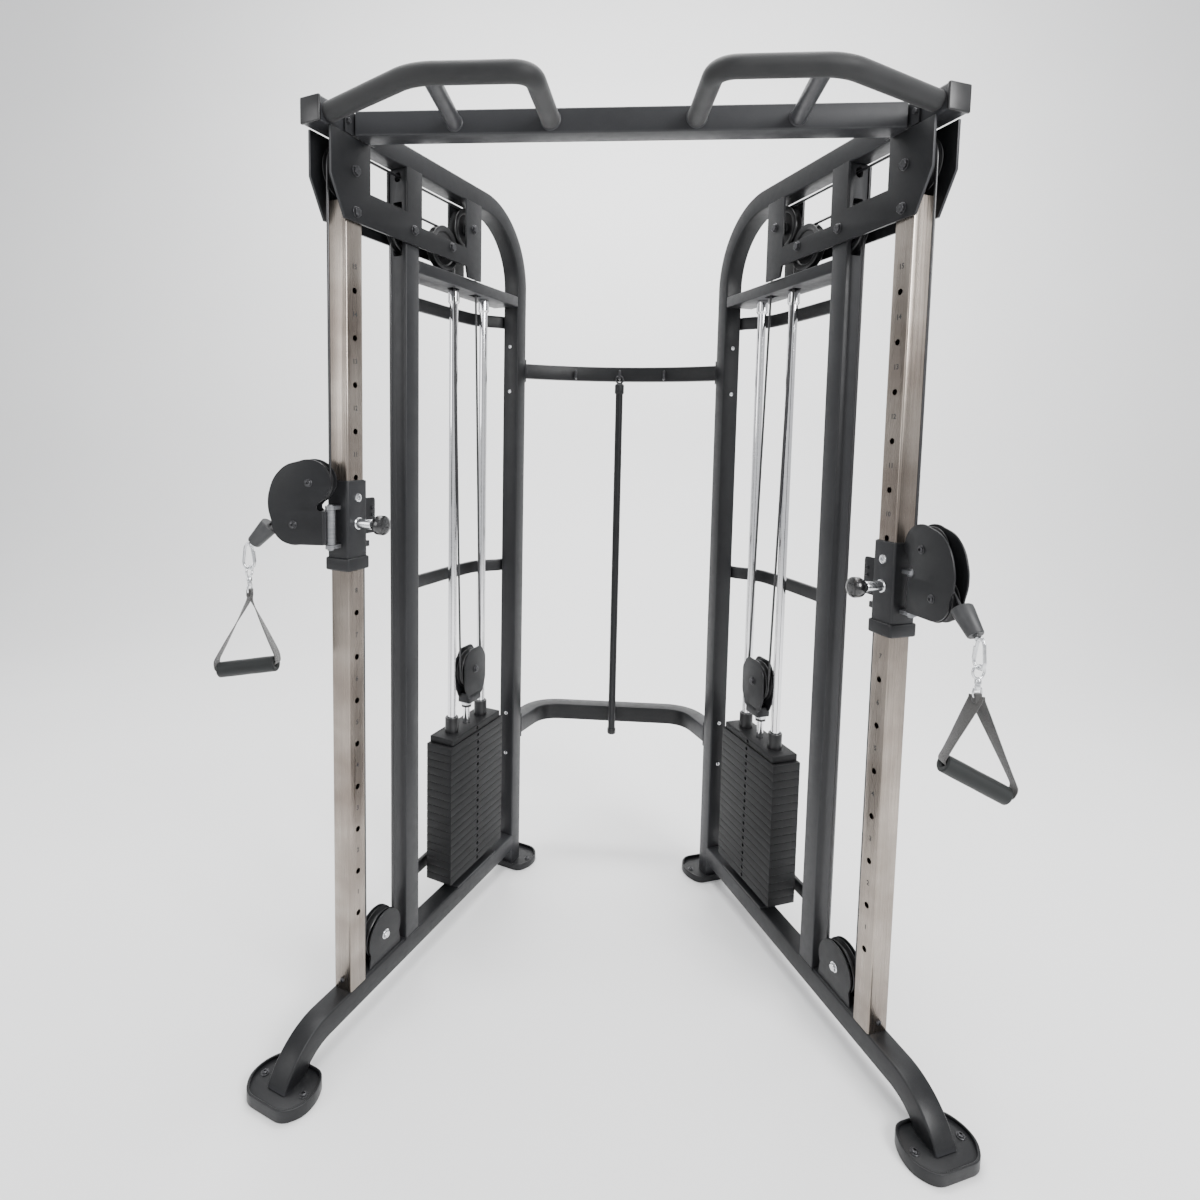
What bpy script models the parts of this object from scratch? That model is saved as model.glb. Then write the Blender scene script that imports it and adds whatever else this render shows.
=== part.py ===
"""Functional trainer: two splayed weight-stack towers joined by three crossmembers.

Each tower is modelled in its own side frame: o runs outward, u rearward along the tower, z up.
The side frame sits on the post line, turned by SPLAY about the vertical. Metres, +Z up.
"""
import math

import bmesh
import bpy
from mathutils import Matrix, Vector

# ---- driving dimensions -------------------------------------------------------------------
CENTRE_X, CENTRE_Y = 0.06549, 0.13549    # moves the assembly so its footprint is centred
SPLAY = math.radians(21.65)            # angle of each tower to the centre plane
POST_X, POST_Y = 0.5643, -0.45         # inner face of the right post, on its hole line
GAP = 0.0003                           # clearance between neighbouring pieces
TUBE = 0.050                           # square tube
MID = TUBE / 2
RAIL_LOW, RAIL_HIGH = 0.054, 0.104     # base rail
ARCH_LOW, ARCH_HIGH = 1.997, 2.047     # top rail
REAR_FRONT, REAR_BACK = 0.692, 0.7425  # rear upright along u
MID_FRONT, MID_BACK = 0.170, 0.220     # mid upright along u
POST_TOP = 1.868
HOLE_FIRST, HOLE_PITCH, HOLE_COUNT = 0.283, 0.100, 15
ROD_O, ROD_U = 0.0425, (0.4216, 0.5677)
ROD_R = 0.0115
STACK_U = 0.4947
STACK_SIZE = (0.082, 0.266)
STACK_LOW, STACK_TOP, HEAD_TOP = 0.1305, 0.5242, 0.543
STACK_PULLEY_O, STACK_PULLEY_Z = 0.030, 0.708   # inward of the rods, so the cable clears them
HEADER_LOW, HEADER_HIGH = 1.767, 1.797
PULLEY_R, CABLE_TURN_R = 0.056, 0.050
FRAME_PULLEYS = {"top_front_pulley": (0.000, 1.930), "mid_pulley": (0.194, 1.859),
                 "return_pulley": (0.3455, 1.857), "top_rear_pulley": (0.445, 1.928),
                 "low_pulley": (0.0998, 0.163)}
BOLT_R, BORE_R = 0.0055, 0.0062
CABLE_R = 0.003
SWIVEL_U = -0.050
SWIVEL_PULLEYS = {"upper": (0.041, 0.090), "lower": (0.0756, 0.0)}
SWIVEL_PULLEY_R, SWIVEL_CABLE_R = 0.0455, 0.041
STOP_NEAR, STOP_FAR = (0.134, -0.0035), (0.172, -0.0442)
HITCH_A, HITCH_Z = 0.183, -0.101       # bottom wire of the carabiner
GRIP_A, GRIP_LENGTH, GRIP_R = 0.190, 0.134, 0.017
GUARD_Z = (0.150, 0.975, 1.725)

# side: sign of x, height of the carriage pin, arm turned outward from straight ahead (degrees),
# grip turned about the vertical, grip tilted, heights of strap fork and grip from the pin
LEFT = dict(name="left", sign=-1, pin=HOLE_FIRST + 9 * HOLE_PITCH, arm=68.35, turn=0, tilt=9,
            fork=-0.169, grip=-0.320)
RIGHT = dict(name="right", sign=1, pin=HOLE_FIRST + 8 * HOLE_PITCH, arm=-5.65, turn=103, tilt=-27,
             fork=-0.158, grip=-0.302)

CHARCOAL = ((0.045, 0.047, 0.052), 0.45, 0.35)
BLACK = ((0.015, 0.015, 0.016), 0.5, 0.1)
NICKEL = ((0.62, 0.57, 0.52), 0.28, 1.0)
CHROME = ((0.82, 0.82, 0.84), 0.08, 1.0)
PLATE = ((0.035, 0.036, 0.039), 0.55, 0.3)
RUBBER = ((0.022, 0.026, 0.027), 0.75, 0.0)
WEBBING = ((0.16, 0.15, 0.14), 0.8, 0.0)
CABLE = ((0.012, 0.012, 0.013), 0.35, 0.0)

for old in list(bpy.data.objects):
    bpy.data.objects.remove(old)


def collection(name):
    made = bpy.data.collections.new(name)
    bpy.context.scene.collection.children.link(made)
    return made


PARTS = collection("functional_trainer")
TOOLS = collection("cutters")


# ---- shapes, each a mesh in the coordinates of its frame -----------------------------------
def welded(mesh, distance=0.00002):
    bm = bmesh.new()
    bm.from_mesh(mesh)
    bmesh.ops.remove_doubles(bm, verts=bm.verts, dist=distance)
    bmesh.ops.recalc_face_normals(bm, faces=bm.faces)
    bm.to_mesh(mesh)
    bm.free()
    return mesh


def evaluated(obj):
    """Mesh of an object as its modifiers or curve settings make it; the object is removed."""
    PARTS.objects.link(obj)
    bpy.context.view_layer.update()
    mesh = bpy.data.meshes.new_from_object(obj.evaluated_get(bpy.context.evaluated_depsgraph_get()))
    bpy.data.objects.remove(obj)
    return welded(mesh)


def together(meshes):
    """Several separate shapes in one mesh, to cut with in a single step."""
    bm = bmesh.new()
    for mesh in meshes:
        bm.from_mesh(mesh)
    out = bpy.data.meshes.new("together")
    bm.to_mesh(out)
    bm.free()
    return out


def moved(mesh, matrix):
    mesh.transform(matrix)
    return mesh


def box(low, high):
    """Box between two corners."""
    low, high = Vector(low), Vector(high)
    for i in range(3):
        if low[i] > high[i]:
            low[i], high[i] = high[i], low[i]
    mesh = bpy.data.meshes.new("box")
    bm = bmesh.new()
    bmesh.ops.create_cube(bm, size=1.0, matrix=Matrix.Translation((low + high) / 2)
                          @ Matrix.Diagonal((*(high - low), 1)))
    bm.to_mesh(mesh)
    bm.free()
    return mesh


def along(direction, start):
    """Matrix taking +Z to a direction, from a start point."""
    return Matrix.Translation(start) @ Vector((0, 0, 1)).rotation_difference(
        Vector(direction)).to_matrix().to_4x4()


def rod(start, end, r1, r2=None, segments=12):
    """Cylinder or cone between two points."""
    start, end = Vector(start), Vector(end)
    length = (end - start).length
    mesh = bpy.data.meshes.new("rod")
    bm = bmesh.new()
    bmesh.ops.create_cone(bm, cap_ends=True, segments=segments, radius1=r1,
                          radius2=r1 if r2 is None else r2, depth=length,
                          matrix=along(end - start, (start + end) / 2))
    bm.to_mesh(mesh)
    bm.free()
    return mesh


def turned(profile, matrix, closed=False, segments=16):
    """Solid of revolution about Z from (radius, height) points, placed by a matrix."""
    mesh = bpy.data.meshes.new("turned")
    bm = bmesh.new()
    verts = [bm.verts.new((r, 0, h)) for r, h in profile]
    for a, b in zip(verts, verts[1:]):
        bm.edges.new((a, b))
    if closed:
        bm.edges.new((verts[-1], verts[0]))
    bm.to_mesh(mesh)
    bm.free()
    obj = bpy.data.objects.new("turned", mesh)
    screw = obj.modifiers.new("screw", 'SCREW')
    screw.steps = screw.render_steps = segments
    screw.use_merge_vertices = True
    screw.merge_threshold = 0.00005
    return moved(evaluated(obj), matrix)


PLANES = {"uz": Matrix(((0, 0, 1, 0), (1, 0, 0, 0), (0, 1, 0, 0), (0, 0, 0, 1))),
          "ou": Matrix.Identity(4)}


def flat(points, thickness, centre, plane, holes=()):
    """Flat outline extruded by a thickness about a centre offset; holes are inner outlines."""
    curve = bpy.data.curves.new("flat", 'CURVE')
    curve.dimensions = '2D'
    curve.fill_mode = 'BOTH'
    curve.extrude = thickness / 2
    for loop in (points, *holes):
        spline = curve.splines.new('POLY')
        spline.points.add(len(loop) - 1)
        for point, (x, y) in zip(spline.points, loop):
            point.co = (x, y, 0, 1)
        spline.use_cyclic_u = True
    mesh = evaluated(bpy.data.objects.new("flat", curve))
    return moved(mesh, PLANES[plane] @ Matrix.Translation((0, 0, centre)))


def tube(path, radius, closed=False, resolution=2):
    """Round bar along a list of points."""
    curve = bpy.data.curves.new("tube", 'CURVE')
    curve.dimensions = '3D'
    curve.bevel_depth = radius
    curve.bevel_resolution = resolution
    curve.use_fill_caps = not closed
    spline = curve.splines.new('POLY')
    spline.points.add(len(path) - 1)
    for point, co in zip(spline.points, path):
        point.co = (*co, 1)
    spline.use_cyclic_u = closed
    return evaluated(bpy.data.objects.new("tube", curve))


def arc(centre, radius, start, end, steps):
    """Points on a circle from one angle to another, in degrees."""
    angles = [math.radians(start + (end - start) * i / steps) for i in range(steps + 1)]
    return [(centre[0] + radius * math.cos(a), centre[1] + radius * math.sin(a)) for a in angles]


def rounded(path, radius, steps=4):
    """Polyline with its inner corners rounded."""
    out = [path[0]]
    for before, corner, after in zip(path, path[1:], path[2:]):
        corner = Vector(corner)
        back, ahead = (Vector(before) - corner), (Vector(after) - corner)
        reach = min(radius, back.length * 0.45, ahead.length * 0.45)
        a, b = corner + back.normalized() * reach, corner + ahead.normalized() * reach
        for i in range(steps + 1):
            t = i / steps
            out.append(tuple(a * (1 - t) ** 2 + corner * 2 * t * (1 - t) + b * t ** 2))
    return out + [path[-1]]


def band(path, width):
    """Outline of a strip of constant width along a 2-D centreline."""
    left, right = [], []
    for i, point in enumerate(path):
        ahead = Vector(path[min(i + 1, len(path) - 1)]) - Vector(path[max(i - 1, 0)])
        normal = Vector((-ahead.y, ahead.x)).normalized() * width / 2
        left.append(tuple(Vector(point) + normal))
        right.append(tuple(Vector(point) - normal))
    return left + right[::-1]


# ---- bodies --------------------------------------------------------------------------------
def paint(name, look):
    colour, rough, metal = look
    material = bpy.data.materials.new(name)
    material.use_nodes = True
    shader = material.node_tree.nodes["Principled BSDF"]
    shader.inputs["Base Color"].default_value = (*colour, 1)
    shader.inputs["Roughness"].default_value = rough
    shader.inputs["Metallic"].default_value = metal
    return material


def body(name, look, frame, origin, first, *steps):
    """One closed piece: a first mesh, then ("UNION" or "DIFFERENCE", mesh) steps in order."""
    shift = Matrix.Translation(-Vector(origin))
    obj = bpy.data.objects.new(name, moved(first, shift))
    obj.parent, obj.location = frame, origin
    PARTS.objects.link(obj)
    obj.data.materials.append(paint(name, look))
    for i, (operation, mesh) in enumerate(steps):
        tool = bpy.data.objects.new(f"{name}_tool_{i}", moved(mesh, shift))
        tool.parent, tool.location = frame, origin
        tool.hide_render, tool.display_type = True, 'WIRE'
        TOOLS.objects.link(tool)
        cut = obj.modifiers.new(f"step_{i}", 'BOOLEAN')
        cut.operation, cut.solver, cut.object = operation, 'EXACT', tool
    return obj


def plus(*meshes):
    return [('UNION', mesh) for mesh in meshes]


def minus(*meshes):
    return [('DIFFERENCE', mesh) for mesh in meshes]


def frame_at(name, location, turn, parent=None):
    empty = bpy.data.objects.new(name, None)
    empty.location, empty.rotation_euler, empty.parent = location, (0, 0, turn), parent
    PARTS.objects.link(empty)
    return empty


ROOT = frame_at("assembly", (CENTRE_X, CENTRE_Y, 0), 0)


# ---- one tower -----------------------------------------------------------------------------
class Tower:
    """Builds the pieces of one side; p() turns (o, u, z) into side-frame coordinates."""

    def __init__(self, side):
        self.side, self.s, self.name, self.pin = side, side["sign"], side["name"], side["pin"]
        self.frame = frame_at(f"{self.name}_frame", (self.s * POST_X, POST_Y, 0),
                              self.s * SPLAY, ROOT)

    def p(self, o, u, z):
        return (self.s * o, u, z)

    def slab(self, o0, o1, u0, u1, z0, z1):
        return box(self.p(o0, u0, z0), self.p(o1, u1, z1))

    def profile(self, points, o0, o1, holes=()):
        return flat(points, abs(o1 - o0), self.s * (o0 + o1) / 2, "uz", holes)

    def plan(self, points, z0, z1, holes=()):
        mirror = [[(self.s * o, u) for o, u in loop] for loop in (points, *holes)]
        return flat(mirror[0], z1 - z0, (z0 + z1) / 2, "ou", mirror[1:])

    def pin_across(self, u, z, o0, o1, radius, segments=8):
        return rod(self.p(o0, u, z), self.p(o1, u, z), radius, segments=segments)

    def upright_rod(self, o, u, z0, z1, radius, segments=12):
        return rod(self.p(o, u, z0), self.p(o, u, z1), radius, segments=segments)

    def add(self, name, look, origin, first, *steps):
        return body(f"{self.name}_{name}", look, self.frame, self.p(*origin), first, *steps)

    def foot(self, straight, back, z1, rim):
        """Foot pad: straight edge at one end, rounded sides, raised rim around a sunk floor."""
        def outline(inset):
            side = 0.078 - inset
            ahead = 1 if back > straight else -1
            start, end = straight + ahead * inset, back - ahead * inset
            knee = start + ahead * 0.030
            return ([(0.025 - side * 0.62, start), (0.025 + side * 0.62, start)]
                    + [(0.025 + side, knee), (0.025 + side, (knee + end) / 2 + ahead * 0.006)]
                    + [(0.025 + side * 0.72, end), (0.025 - side * 0.72, end)]
                    + [(0.025 - side, (knee + end) / 2 + ahead * 0.006), (0.025 - side, knee)])
        return self.plan(outline(0), 0, z1), self.plan(outline(0.004), rim, z1 + 0.02)

    def base_rail(self):
        corner = (-0.090, 0.079 - 0.115)
        outline = [(REAR_FRONT - GAP, RAIL_HIGH), (REAR_FRONT - GAP, RAIL_LOW)]
        outline += arc(corner, 0.090, 90, 90 + 62, 6) + arc(corner, 0.140, 90 + 72.4, 90, 7)
        rail = self.profile(outline, 0, TUBE)
        pad, well = self.foot(-0.250, -0.140, 0.026, 0.009)
        u, z = FRAME_PULLEYS["low_pulley"]
        cheeks = [self.slab(o, o + 0.005, u - 0.026, u + 0.026, RAIL_HIGH - 0.004, z + 0.016)
                  for o in (0.0075, 0.0375)]
        seat = self.slab(0.0005, 0.0845, 0.395, 0.594, RAIL_HIGH - 0.003, 0.1090)
        bumpers = [self.upright_rod(ROD_O, u_rod, 0.108, STACK_LOW - GAP, 0.020) for u_rod in ROD_U]
        bolts = [self.upright_rod(o, -0.200, 0.004, 0.014, 0.008, 8) for o in (-0.030, 0.080)]
        self.add("base_rail", CHARCOAL, (0, 0, 0), pad, *minus(well), *plus(rail, *cheeks, seat),
                 *plus(*bumpers, *bolts, self.pin_across(u, z, 0.003, 0.047, BOLT_R)))

    def arch_frame(self):
        bend = (0.5175, 1.822)
        outline = [(REAR_FRONT, 0.010)] + arc(bend, 0.1745, 0, 90, 9)
        outline += [(-0.092, ARCH_LOW), (-0.092, ARCH_HIGH)] + arc(bend, 0.225, 90, 0, 9)
        outline += [(REAR_BACK, 0.010)]
        pad, well = self.foot(0.795, 0.680, 0.020, 0.013)
        cap = self.slab(-0.001, 0.051, -0.098, -0.086, ARCH_LOW - 0.001, ARCH_HIGH + 0.001)
        bolts = [self.upright_rod(o, 0.735, 0.010, 0.018, 0.007, 8) for o in (-0.032, 0.082)]
        self.add("arch_frame", CHARCOAL, (0, 0, 0), pad, *minus(well),
                 *plus(self.profile(outline, 0, TUBE), cap, *bolts))

    def mid_upright(self):
        guard = band(rounded([(0.030, 0.212), (0.118, 0.330), (0.122, 0.500), (0.114, 0.640),
                              (0.0572, 0.700), (0.0572, 0.740)], 0.035), 0.013)
        guards = [self.plan(guard, z - 0.018, z + 0.018) for z in GUARD_Z]
        u, z = FRAME_PULLEYS["mid_pulley"]
        tube_body = self.slab(0, TUBE, MID_FRONT, MID_BACK, RAIL_HIGH + GAP, ARCH_LOW - GAP)
        window = self.slab(0.012, 0.038, 0.15, 0.24, z - 0.062, z + 0.062)
        slot = self.slab(0.016, 0.034, 0.15, 0.24, 1.968, 1.988)
        hole = self.pin_across(u, z, -0.01, 0.06, BORE_R)
        self.add("mid_upright", CHARCOAL, (0, 0, 0), tube_body, *minus(window, slot, hole),
                 *plus(*guards))

    def guide_post(self):
        low = RAIL_HIGH + GAP
        wall = 0.003
        square = [(0, -MID), (TUBE, -MID), (TUBE, MID), (0, MID)]
        bore = [(wall, wall - MID), (TUBE - wall, wall - MID), (TUBE - wall, MID - wall),
                (wall, MID - wall)]
        holes = [self.pin_across(0, HOLE_FIRST + HOLE_PITCH * i, -0.01, 0.01, 0.0065)
                 for i in range(HOLE_COUNT)]
        self.add("guide_post", NICKEL, (0, 0, 0), self.plan(square, low, POST_TOP, [bore]),
                 *minus(together(holes)))

    def rod_header(self):
        bar = self.slab(0, 0.085, MID_BACK + GAP, REAR_FRONT - GAP, HEADER_LOW, HEADER_HIGH)
        slots = [self.slab(0.018, 0.042, u0, u1, 1.7, 1.9) for u0, u1 in ((0.386, 0.418),
                                                                         (0.487, 0.523))]
        self.add("rod_header", CHARCOAL, (0, 0, 0), bar, *minus(*slots))

    def gusset_outline(self):
        top = ARCH_LOW - GAP
        return [(-0.071, top), (-0.071, 1.904), (-0.033, 1.825), (0.410, 1.825),
                (0.418, HEADER_HIGH + GAP), (0.480, HEADER_HIGH + GAP), (0.480, top),
                (0.410, top), (0.410, 1.872), (0.222, 1.872), (0.222, top), (0.168, top),
                (0.168, 1.895), (0.044, 1.895), (0.044, top)]

    def gussets(self):
        inner = self.profile(self.gusset_outline(), -0.0063, -GAP)
        outer = self.profile(self.gusset_outline(), TUBE + GAP, TUBE + 0.0063)
        axles = [self.pin_across(u, z, -0.0115, TUBE, BOLT_R)
                 for name, (u, z) in FRAME_PULLEYS.items() if name != "low_pulley"]
        heads = [self.pin_across(0.0, 1.846, -0.0115, -0.003, 0.008)]
        self.add("inner_gusset", CHARCOAL, (0, 0, 0), inner, *plus(*axles, *heads))
        nuts = [self.pin_across(u, z, TUBE + 0.003, TUBE + 0.0125, 0.008, 6)
                for name, (u, z) in FRAME_PULLEYS.items() if name != "low_pulley"]
        self.add("outer_gusset", CHARCOAL, (0, 0, 0), outer, *plus(*nuts))

    def guide_rods(self):
        top = HEADER_LOW - GAP
        profile = [(0, top), (0.0155, top), (0.0155, top - 0.030), (ROD_R, top - 0.034),
                   (ROD_R, STACK_LOW), (0, STACK_LOW)]
        for name, u in zip(("front", "rear"), ROD_U):
            place = Matrix.Translation(self.p(ROD_O, u, 0))
            self.add(f"{name}_guide_rod", CHROME, (ROD_O, u, 0), turned(profile, place))

    def stack(self):
        half_o, half_u = STACK_SIZE[0] / 2, STACK_SIZE[1] / 2
        bores = lambda: [self.upright_rod(ROD_O, u, 0.05, 0.70, ROD_R + 0.0008) for u in ROD_U]
        stem_hole = lambda: self.upright_rod(ROD_O, STACK_U, 0.05, 0.70, 0.0100)
        plates = self.slab(ROD_O - half_o, ROD_O + half_o, STACK_U - half_u, STACK_U + half_u,
                           STACK_LOW, STACK_TOP)
        self.add("weight_plates", PLATE, (0, 0, 0), plates, *minus(*bores(), stem_hole()))
        low = STACK_TOP + GAP
        inset_o, inset_u = half_o - 0.003, half_u - 0.010
        head = self.slab(ROD_O - inset_o, ROD_O + inset_o, STACK_U - inset_u, STACK_U + inset_u,
                         low, HEAD_TOP)
        sleeves = [self.upright_rod(ROD_O, u, HEAD_TOP - 0.01, 0.586, 0.0187) for u in ROD_U]
        self.add("head_plate", PLATE, (ROD_O, STACK_U, HEAD_TOP), head,
                 *plus(*sleeves), *minus(*bores(), stem_hole()))
        half_cheek = [(0.034, 0.628), (0.052, 0.668), (0.052, 0.738), (0.028, 0.770)]
        cheek = [(STACK_U + u, z) for u, z in half_cheek]
        cheek += [(STACK_U - u, z) for u, z in reversed(half_cheek)]
        cheeks = [self.profile(cheek, STACK_PULLEY_O + o, STACK_PULLEY_O + o + 0.004)
                  for o in (-0.018, 0.014)]
        yoke = self.slab(STACK_PULLEY_O - 0.018, ROD_O + 0.010, STACK_U - 0.029, STACK_U + 0.029,
                         0.612, 0.640)
        stem = self.upright_rod(ROD_O, STACK_U, STACK_LOW + 0.004, 0.620, 0.009)
        axle = self.pin_across(STACK_U, STACK_PULLEY_Z, STACK_PULLEY_O - 0.023,
                               STACK_PULLEY_O + 0.023, BOLT_R)
        self.add("pulley_block", CHROME, (ROD_O, STACK_U, HEAD_TOP), yoke,
                 *plus(stem, *cheeks, axle))

    def pulley(self, name, o, u, z, radius=PULLEY_R, groove=0.0445):
        wide, bottom = 0.0095, 0.0035
        profile = [(BORE_R, wide), (radius, wide), (groove, bottom), (groove, -bottom),
                   (radius, -wide), (BORE_R, -wide)]
        place = along((1, 0, 0), self.p(o, u, z))
        self.add(name, BLACK, (o, u, z), turned(profile, place, closed=True))

    def pulleys(self):
        for name, (u, z) in FRAME_PULLEYS.items():
            self.pulley(name, MID, u, z)
        self.pulley("stack_pulley", STACK_PULLEY_O, STACK_U, STACK_PULLEY_Z)

    def carriage(self):
        pin = self.pin
        sleeve = self.slab(-0.005, 0.055, -0.030, 0.030, pin - 0.103, pin + 0.093)
        collar = self.slab(-0.010, 0.060, -0.035, 0.035, pin - 0.103, pin - 0.075)
        bore = self.slab(-0.0006, 0.0506, -0.0256, 0.0256, pin - 0.2, pin + 0.2)
        lugs = [self.slab(0.0145, 0.0355, SWIVEL_U, -0.028, pin + z, pin + z + 0.009)
                for z in (0.0315, -0.0525)]
        knuckles = [self.upright_rod(MID, SWIVEL_U, pin + z, pin + z + 0.009, 0.011)
                    for z in (0.0315, -0.0525)]
        hinge_pin = self.upright_rod(MID, SWIVEL_U, pin - 0.050, pin + 0.036, 0.005)
        anchor = self.slab(0.015, 0.035, 0.028, 0.060, pin - 0.060, pin - 0.046)
        barrel = self.pin_across(0, pin, -0.048, -0.003, 0.011, 12)
        screw = self.pin_across(0, pin + 0.056, -0.009, -0.003, 0.009)
        pin_bore = self.pin_across(0, pin, -0.060, 0.000, 0.0065)
        tab = self.slab(-0.0046, -0.0012, 0.027, 0.056, pin - 0.026, pin + 0.054)
        self.add("carriage", CHARCOAL, (MID, 0, pin), sleeve, *plus(collar, *lugs, *knuckles),
                 *plus(hinge_pin, anchor, barrel, screw, tab), *minus(pin_bore, bore))

    def pop_pin(self):
        profile = [(0, 0.0830), (0.0180, 0.0820), (0.0215, 0.0780), (0.0215, 0.0620),
                   (0.0140, 0.0540), (0.0115, 0.0484), (BOLT_R, 0.0484), (BOLT_R, 0.0005),
                   (0, 0.0005)]
        place = along(self.p(-1, 0, 0), self.p(0, 0, self.pin))
        self.add("pop_pin", BLACK, (0, 0, self.pin), turned(profile, place))

    # ---- swivel arm: a runs outward along the arm, b across it, z relative to the pin ------
    def arm_frame(self):
        """Frame on the swivel axis at pin height, +Y along the arm."""
        turn = math.pi - self.s * math.radians(self.side["arm"]) * -1
        return frame_at(f"{self.name}_arm", self.p(MID, SWIVEL_U, self.pin), turn, self.frame)

    def arm_profile(self, points, b0, b1, holes=()):
        return flat(points, abs(b1 - b0), (b0 + b1) / 2, "uz", holes)

    def swivel_bracket(self, arm):
        lower = arc((0.0756, 0.004), 0.047, -90, 0, 6)
        upper = arc((0.041, 0.090), 0.050, 68, 190, 8)
        outline = [(0.008, -0.043)] + lower + [(0.129, 0.022), (0.131, 0.055), (0.120, 0.098), (0.092, 0.128)]
        outline += upper
        outline += [(0.008, 0.055), (0.020, 0.047), (0.026, 0.038), (0.021, 0.030), (0.010, 0.030)]
        cheeks = [self.arm_profile(outline, b, b + 0.004) for b in (-0.017, 0.013)]
        web = box((-0.0135, 0.004, -0.043), (0.0135, 0.022, 0.029))
        barrel = rod((0, 0, -0.0432), (0, 0, 0.0312), 0.0105)
        bolts = [rod((-0.020, a, z), (0.020, a, z), BOLT_R, segments=8)
                 for a, z in SWIVEL_PULLEYS.values()]
        bore = rod((0, 0, -0.1), (0, 0, 0.1), 0.0056)
        body(f"{self.name}_swivel_bracket", CHARCOAL, arm, (0, 0, 0), barrel,
             *plus(web, *cheeks, *bolts), *minus(bore))

    def swivel_pulleys(self, arm):
        profile = [(BORE_R, 0.0095), (SWIVEL_PULLEY_R, 0.0095), (0.0365, 0.0035),
                   (0.0365, -0.0035), (SWIVEL_PULLEY_R, -0.0095), (BORE_R, -0.0095)]
        for name, (a, z) in SWIVEL_PULLEYS.items():
            body(f"{self.name}_swivel_pulley_{name}", BLACK, arm, (0, a, z),
                 turned(profile, along((1, 0, 0), (0, a, z)), closed=True))

    def cable_stop(self, arm):
        near, far = Vector((0, *STOP_NEAR)), Vector((0, *STOP_FAR))
        cone = rod(near, far, 0.020, 0.015, 14)
        top, low = HITCH_Z + 0.058, HITCH_Z
        loop = rounded([(HITCH_A - 0.006, low), (HITCH_A + 0.006, low), (HITCH_A + 0.013, low + 0.010),
                        (HITCH_A + 0.009, top - 0.006), (HITCH_A, top), (HITCH_A - 0.007, top - 0.006),
                        (HITCH_A - 0.013, low + 0.010), (HITCH_A - 0.006, low)], 0.005, 2)[:-1]
        ring = tube([(0, a, z) for a, z in loop], 0.003, closed=True)
        eye = rod(far - Vector((0, 0.004, -0.004)), (0, HITCH_A - 0.002, top), 0.005, segments=10)
        body(f"{self.name}_cable_stop", RUBBER, arm, (0, HITCH_A, HITCH_Z), cone, *plus(eye, ring))

    def grip_axis(self):
        """Grip ends relative to the swivel axis, and the unit vector between them."""
        turn, tilt = math.radians(self.side["turn"]), math.radians(self.side["tilt"])
        across = Vector((math.sin(turn) * math.cos(tilt), math.cos(turn) * math.cos(tilt),
                         -math.sin(tilt)))
        middle = Vector((0, GRIP_A, self.side["grip"]))
        return middle, across

    def handle_strap(self, arm):
        middle, across = self.grip_axis()
        fork = Vector((0, HITCH_A, self.side["fork"]))
        side_on = Vector((0, 0, 1)).cross(across).normalized()
        inward = side_on.cross(across).normalized() * 0.021
        inward *= 1 if inward.z > 0 else -1
        legs = []
        for end in (GRIP_LENGTH / 2 + 0.0035, -GRIP_LENGTH / 2 - 0.0035):
            foot = middle + across * end
            legs += [self.strap_leg(fork, foot + inward, side_on),
                     self.strap_leg(foot + inward, foot, side_on)]
        core = rod(middle - across * (GRIP_LENGTH / 2 + 0.003),
                   middle + across * (GRIP_LENGTH / 2 + 0.003), 0.005, segments=12)
        neck = rod((0, HITCH_A, -0.119), fork - Vector((0, 0, 0.006)), 0.005, 0.009, 12)
        ring_z = HITCH_Z - 0.0063
        ring = tube([(0.012 * math.sin(math.radians(30 * i)), HITCH_A,
                      ring_z + 0.012 * math.cos(math.radians(30 * i))) for i in range(12)],
                    0.0024, closed=True)
        body(f"{self.name}_handle_strap", WEBBING, arm, (0, HITCH_A, HITCH_Z), legs[0],
             *plus(*legs[1:], core, neck, ring))

    def strap_leg(self, top, bottom, side_on):
        """Webbing leg 24 mm wide and 3 mm thick from the fork to one end of the grip."""
        down = bottom - top
        length = down.length + 0.008
        down.normalize()
        normal = side_on.cross(down).normalized()
        place = Matrix((side_on, normal, down)).transposed().to_4x4()
        place.translation = top + down * (length / 2 - 0.004)
        leg = box((-0.012, -0.0015, -length / 2), (0.012, 0.0015, length / 2))
        return moved(leg, place)

    def handle_grip(self, arm):
        middle, across = self.grip_axis()
        half = GRIP_LENGTH / 2 - 0.001
        profile = [(BORE_R, half), (GRIP_R - 0.002, half), (GRIP_R, half - 0.003),
                   (GRIP_R, -half + 0.003), (GRIP_R - 0.002, -half), (BORE_R, -half)]
        body(f"{self.name}_handle_grip", RUBBER, arm, middle,
             turned(profile, along(across, middle), closed=True))

    # ---- cable ----------------------------------------------------------------------------
    def arm_point(self, a, z):
        """Point of the arm plane in side-frame coordinates."""
        angle = math.radians(self.side["arm"])
        return self.p(MID + a * math.sin(angle), SWIVEL_U - a * math.cos(angle), self.pin + z)

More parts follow.
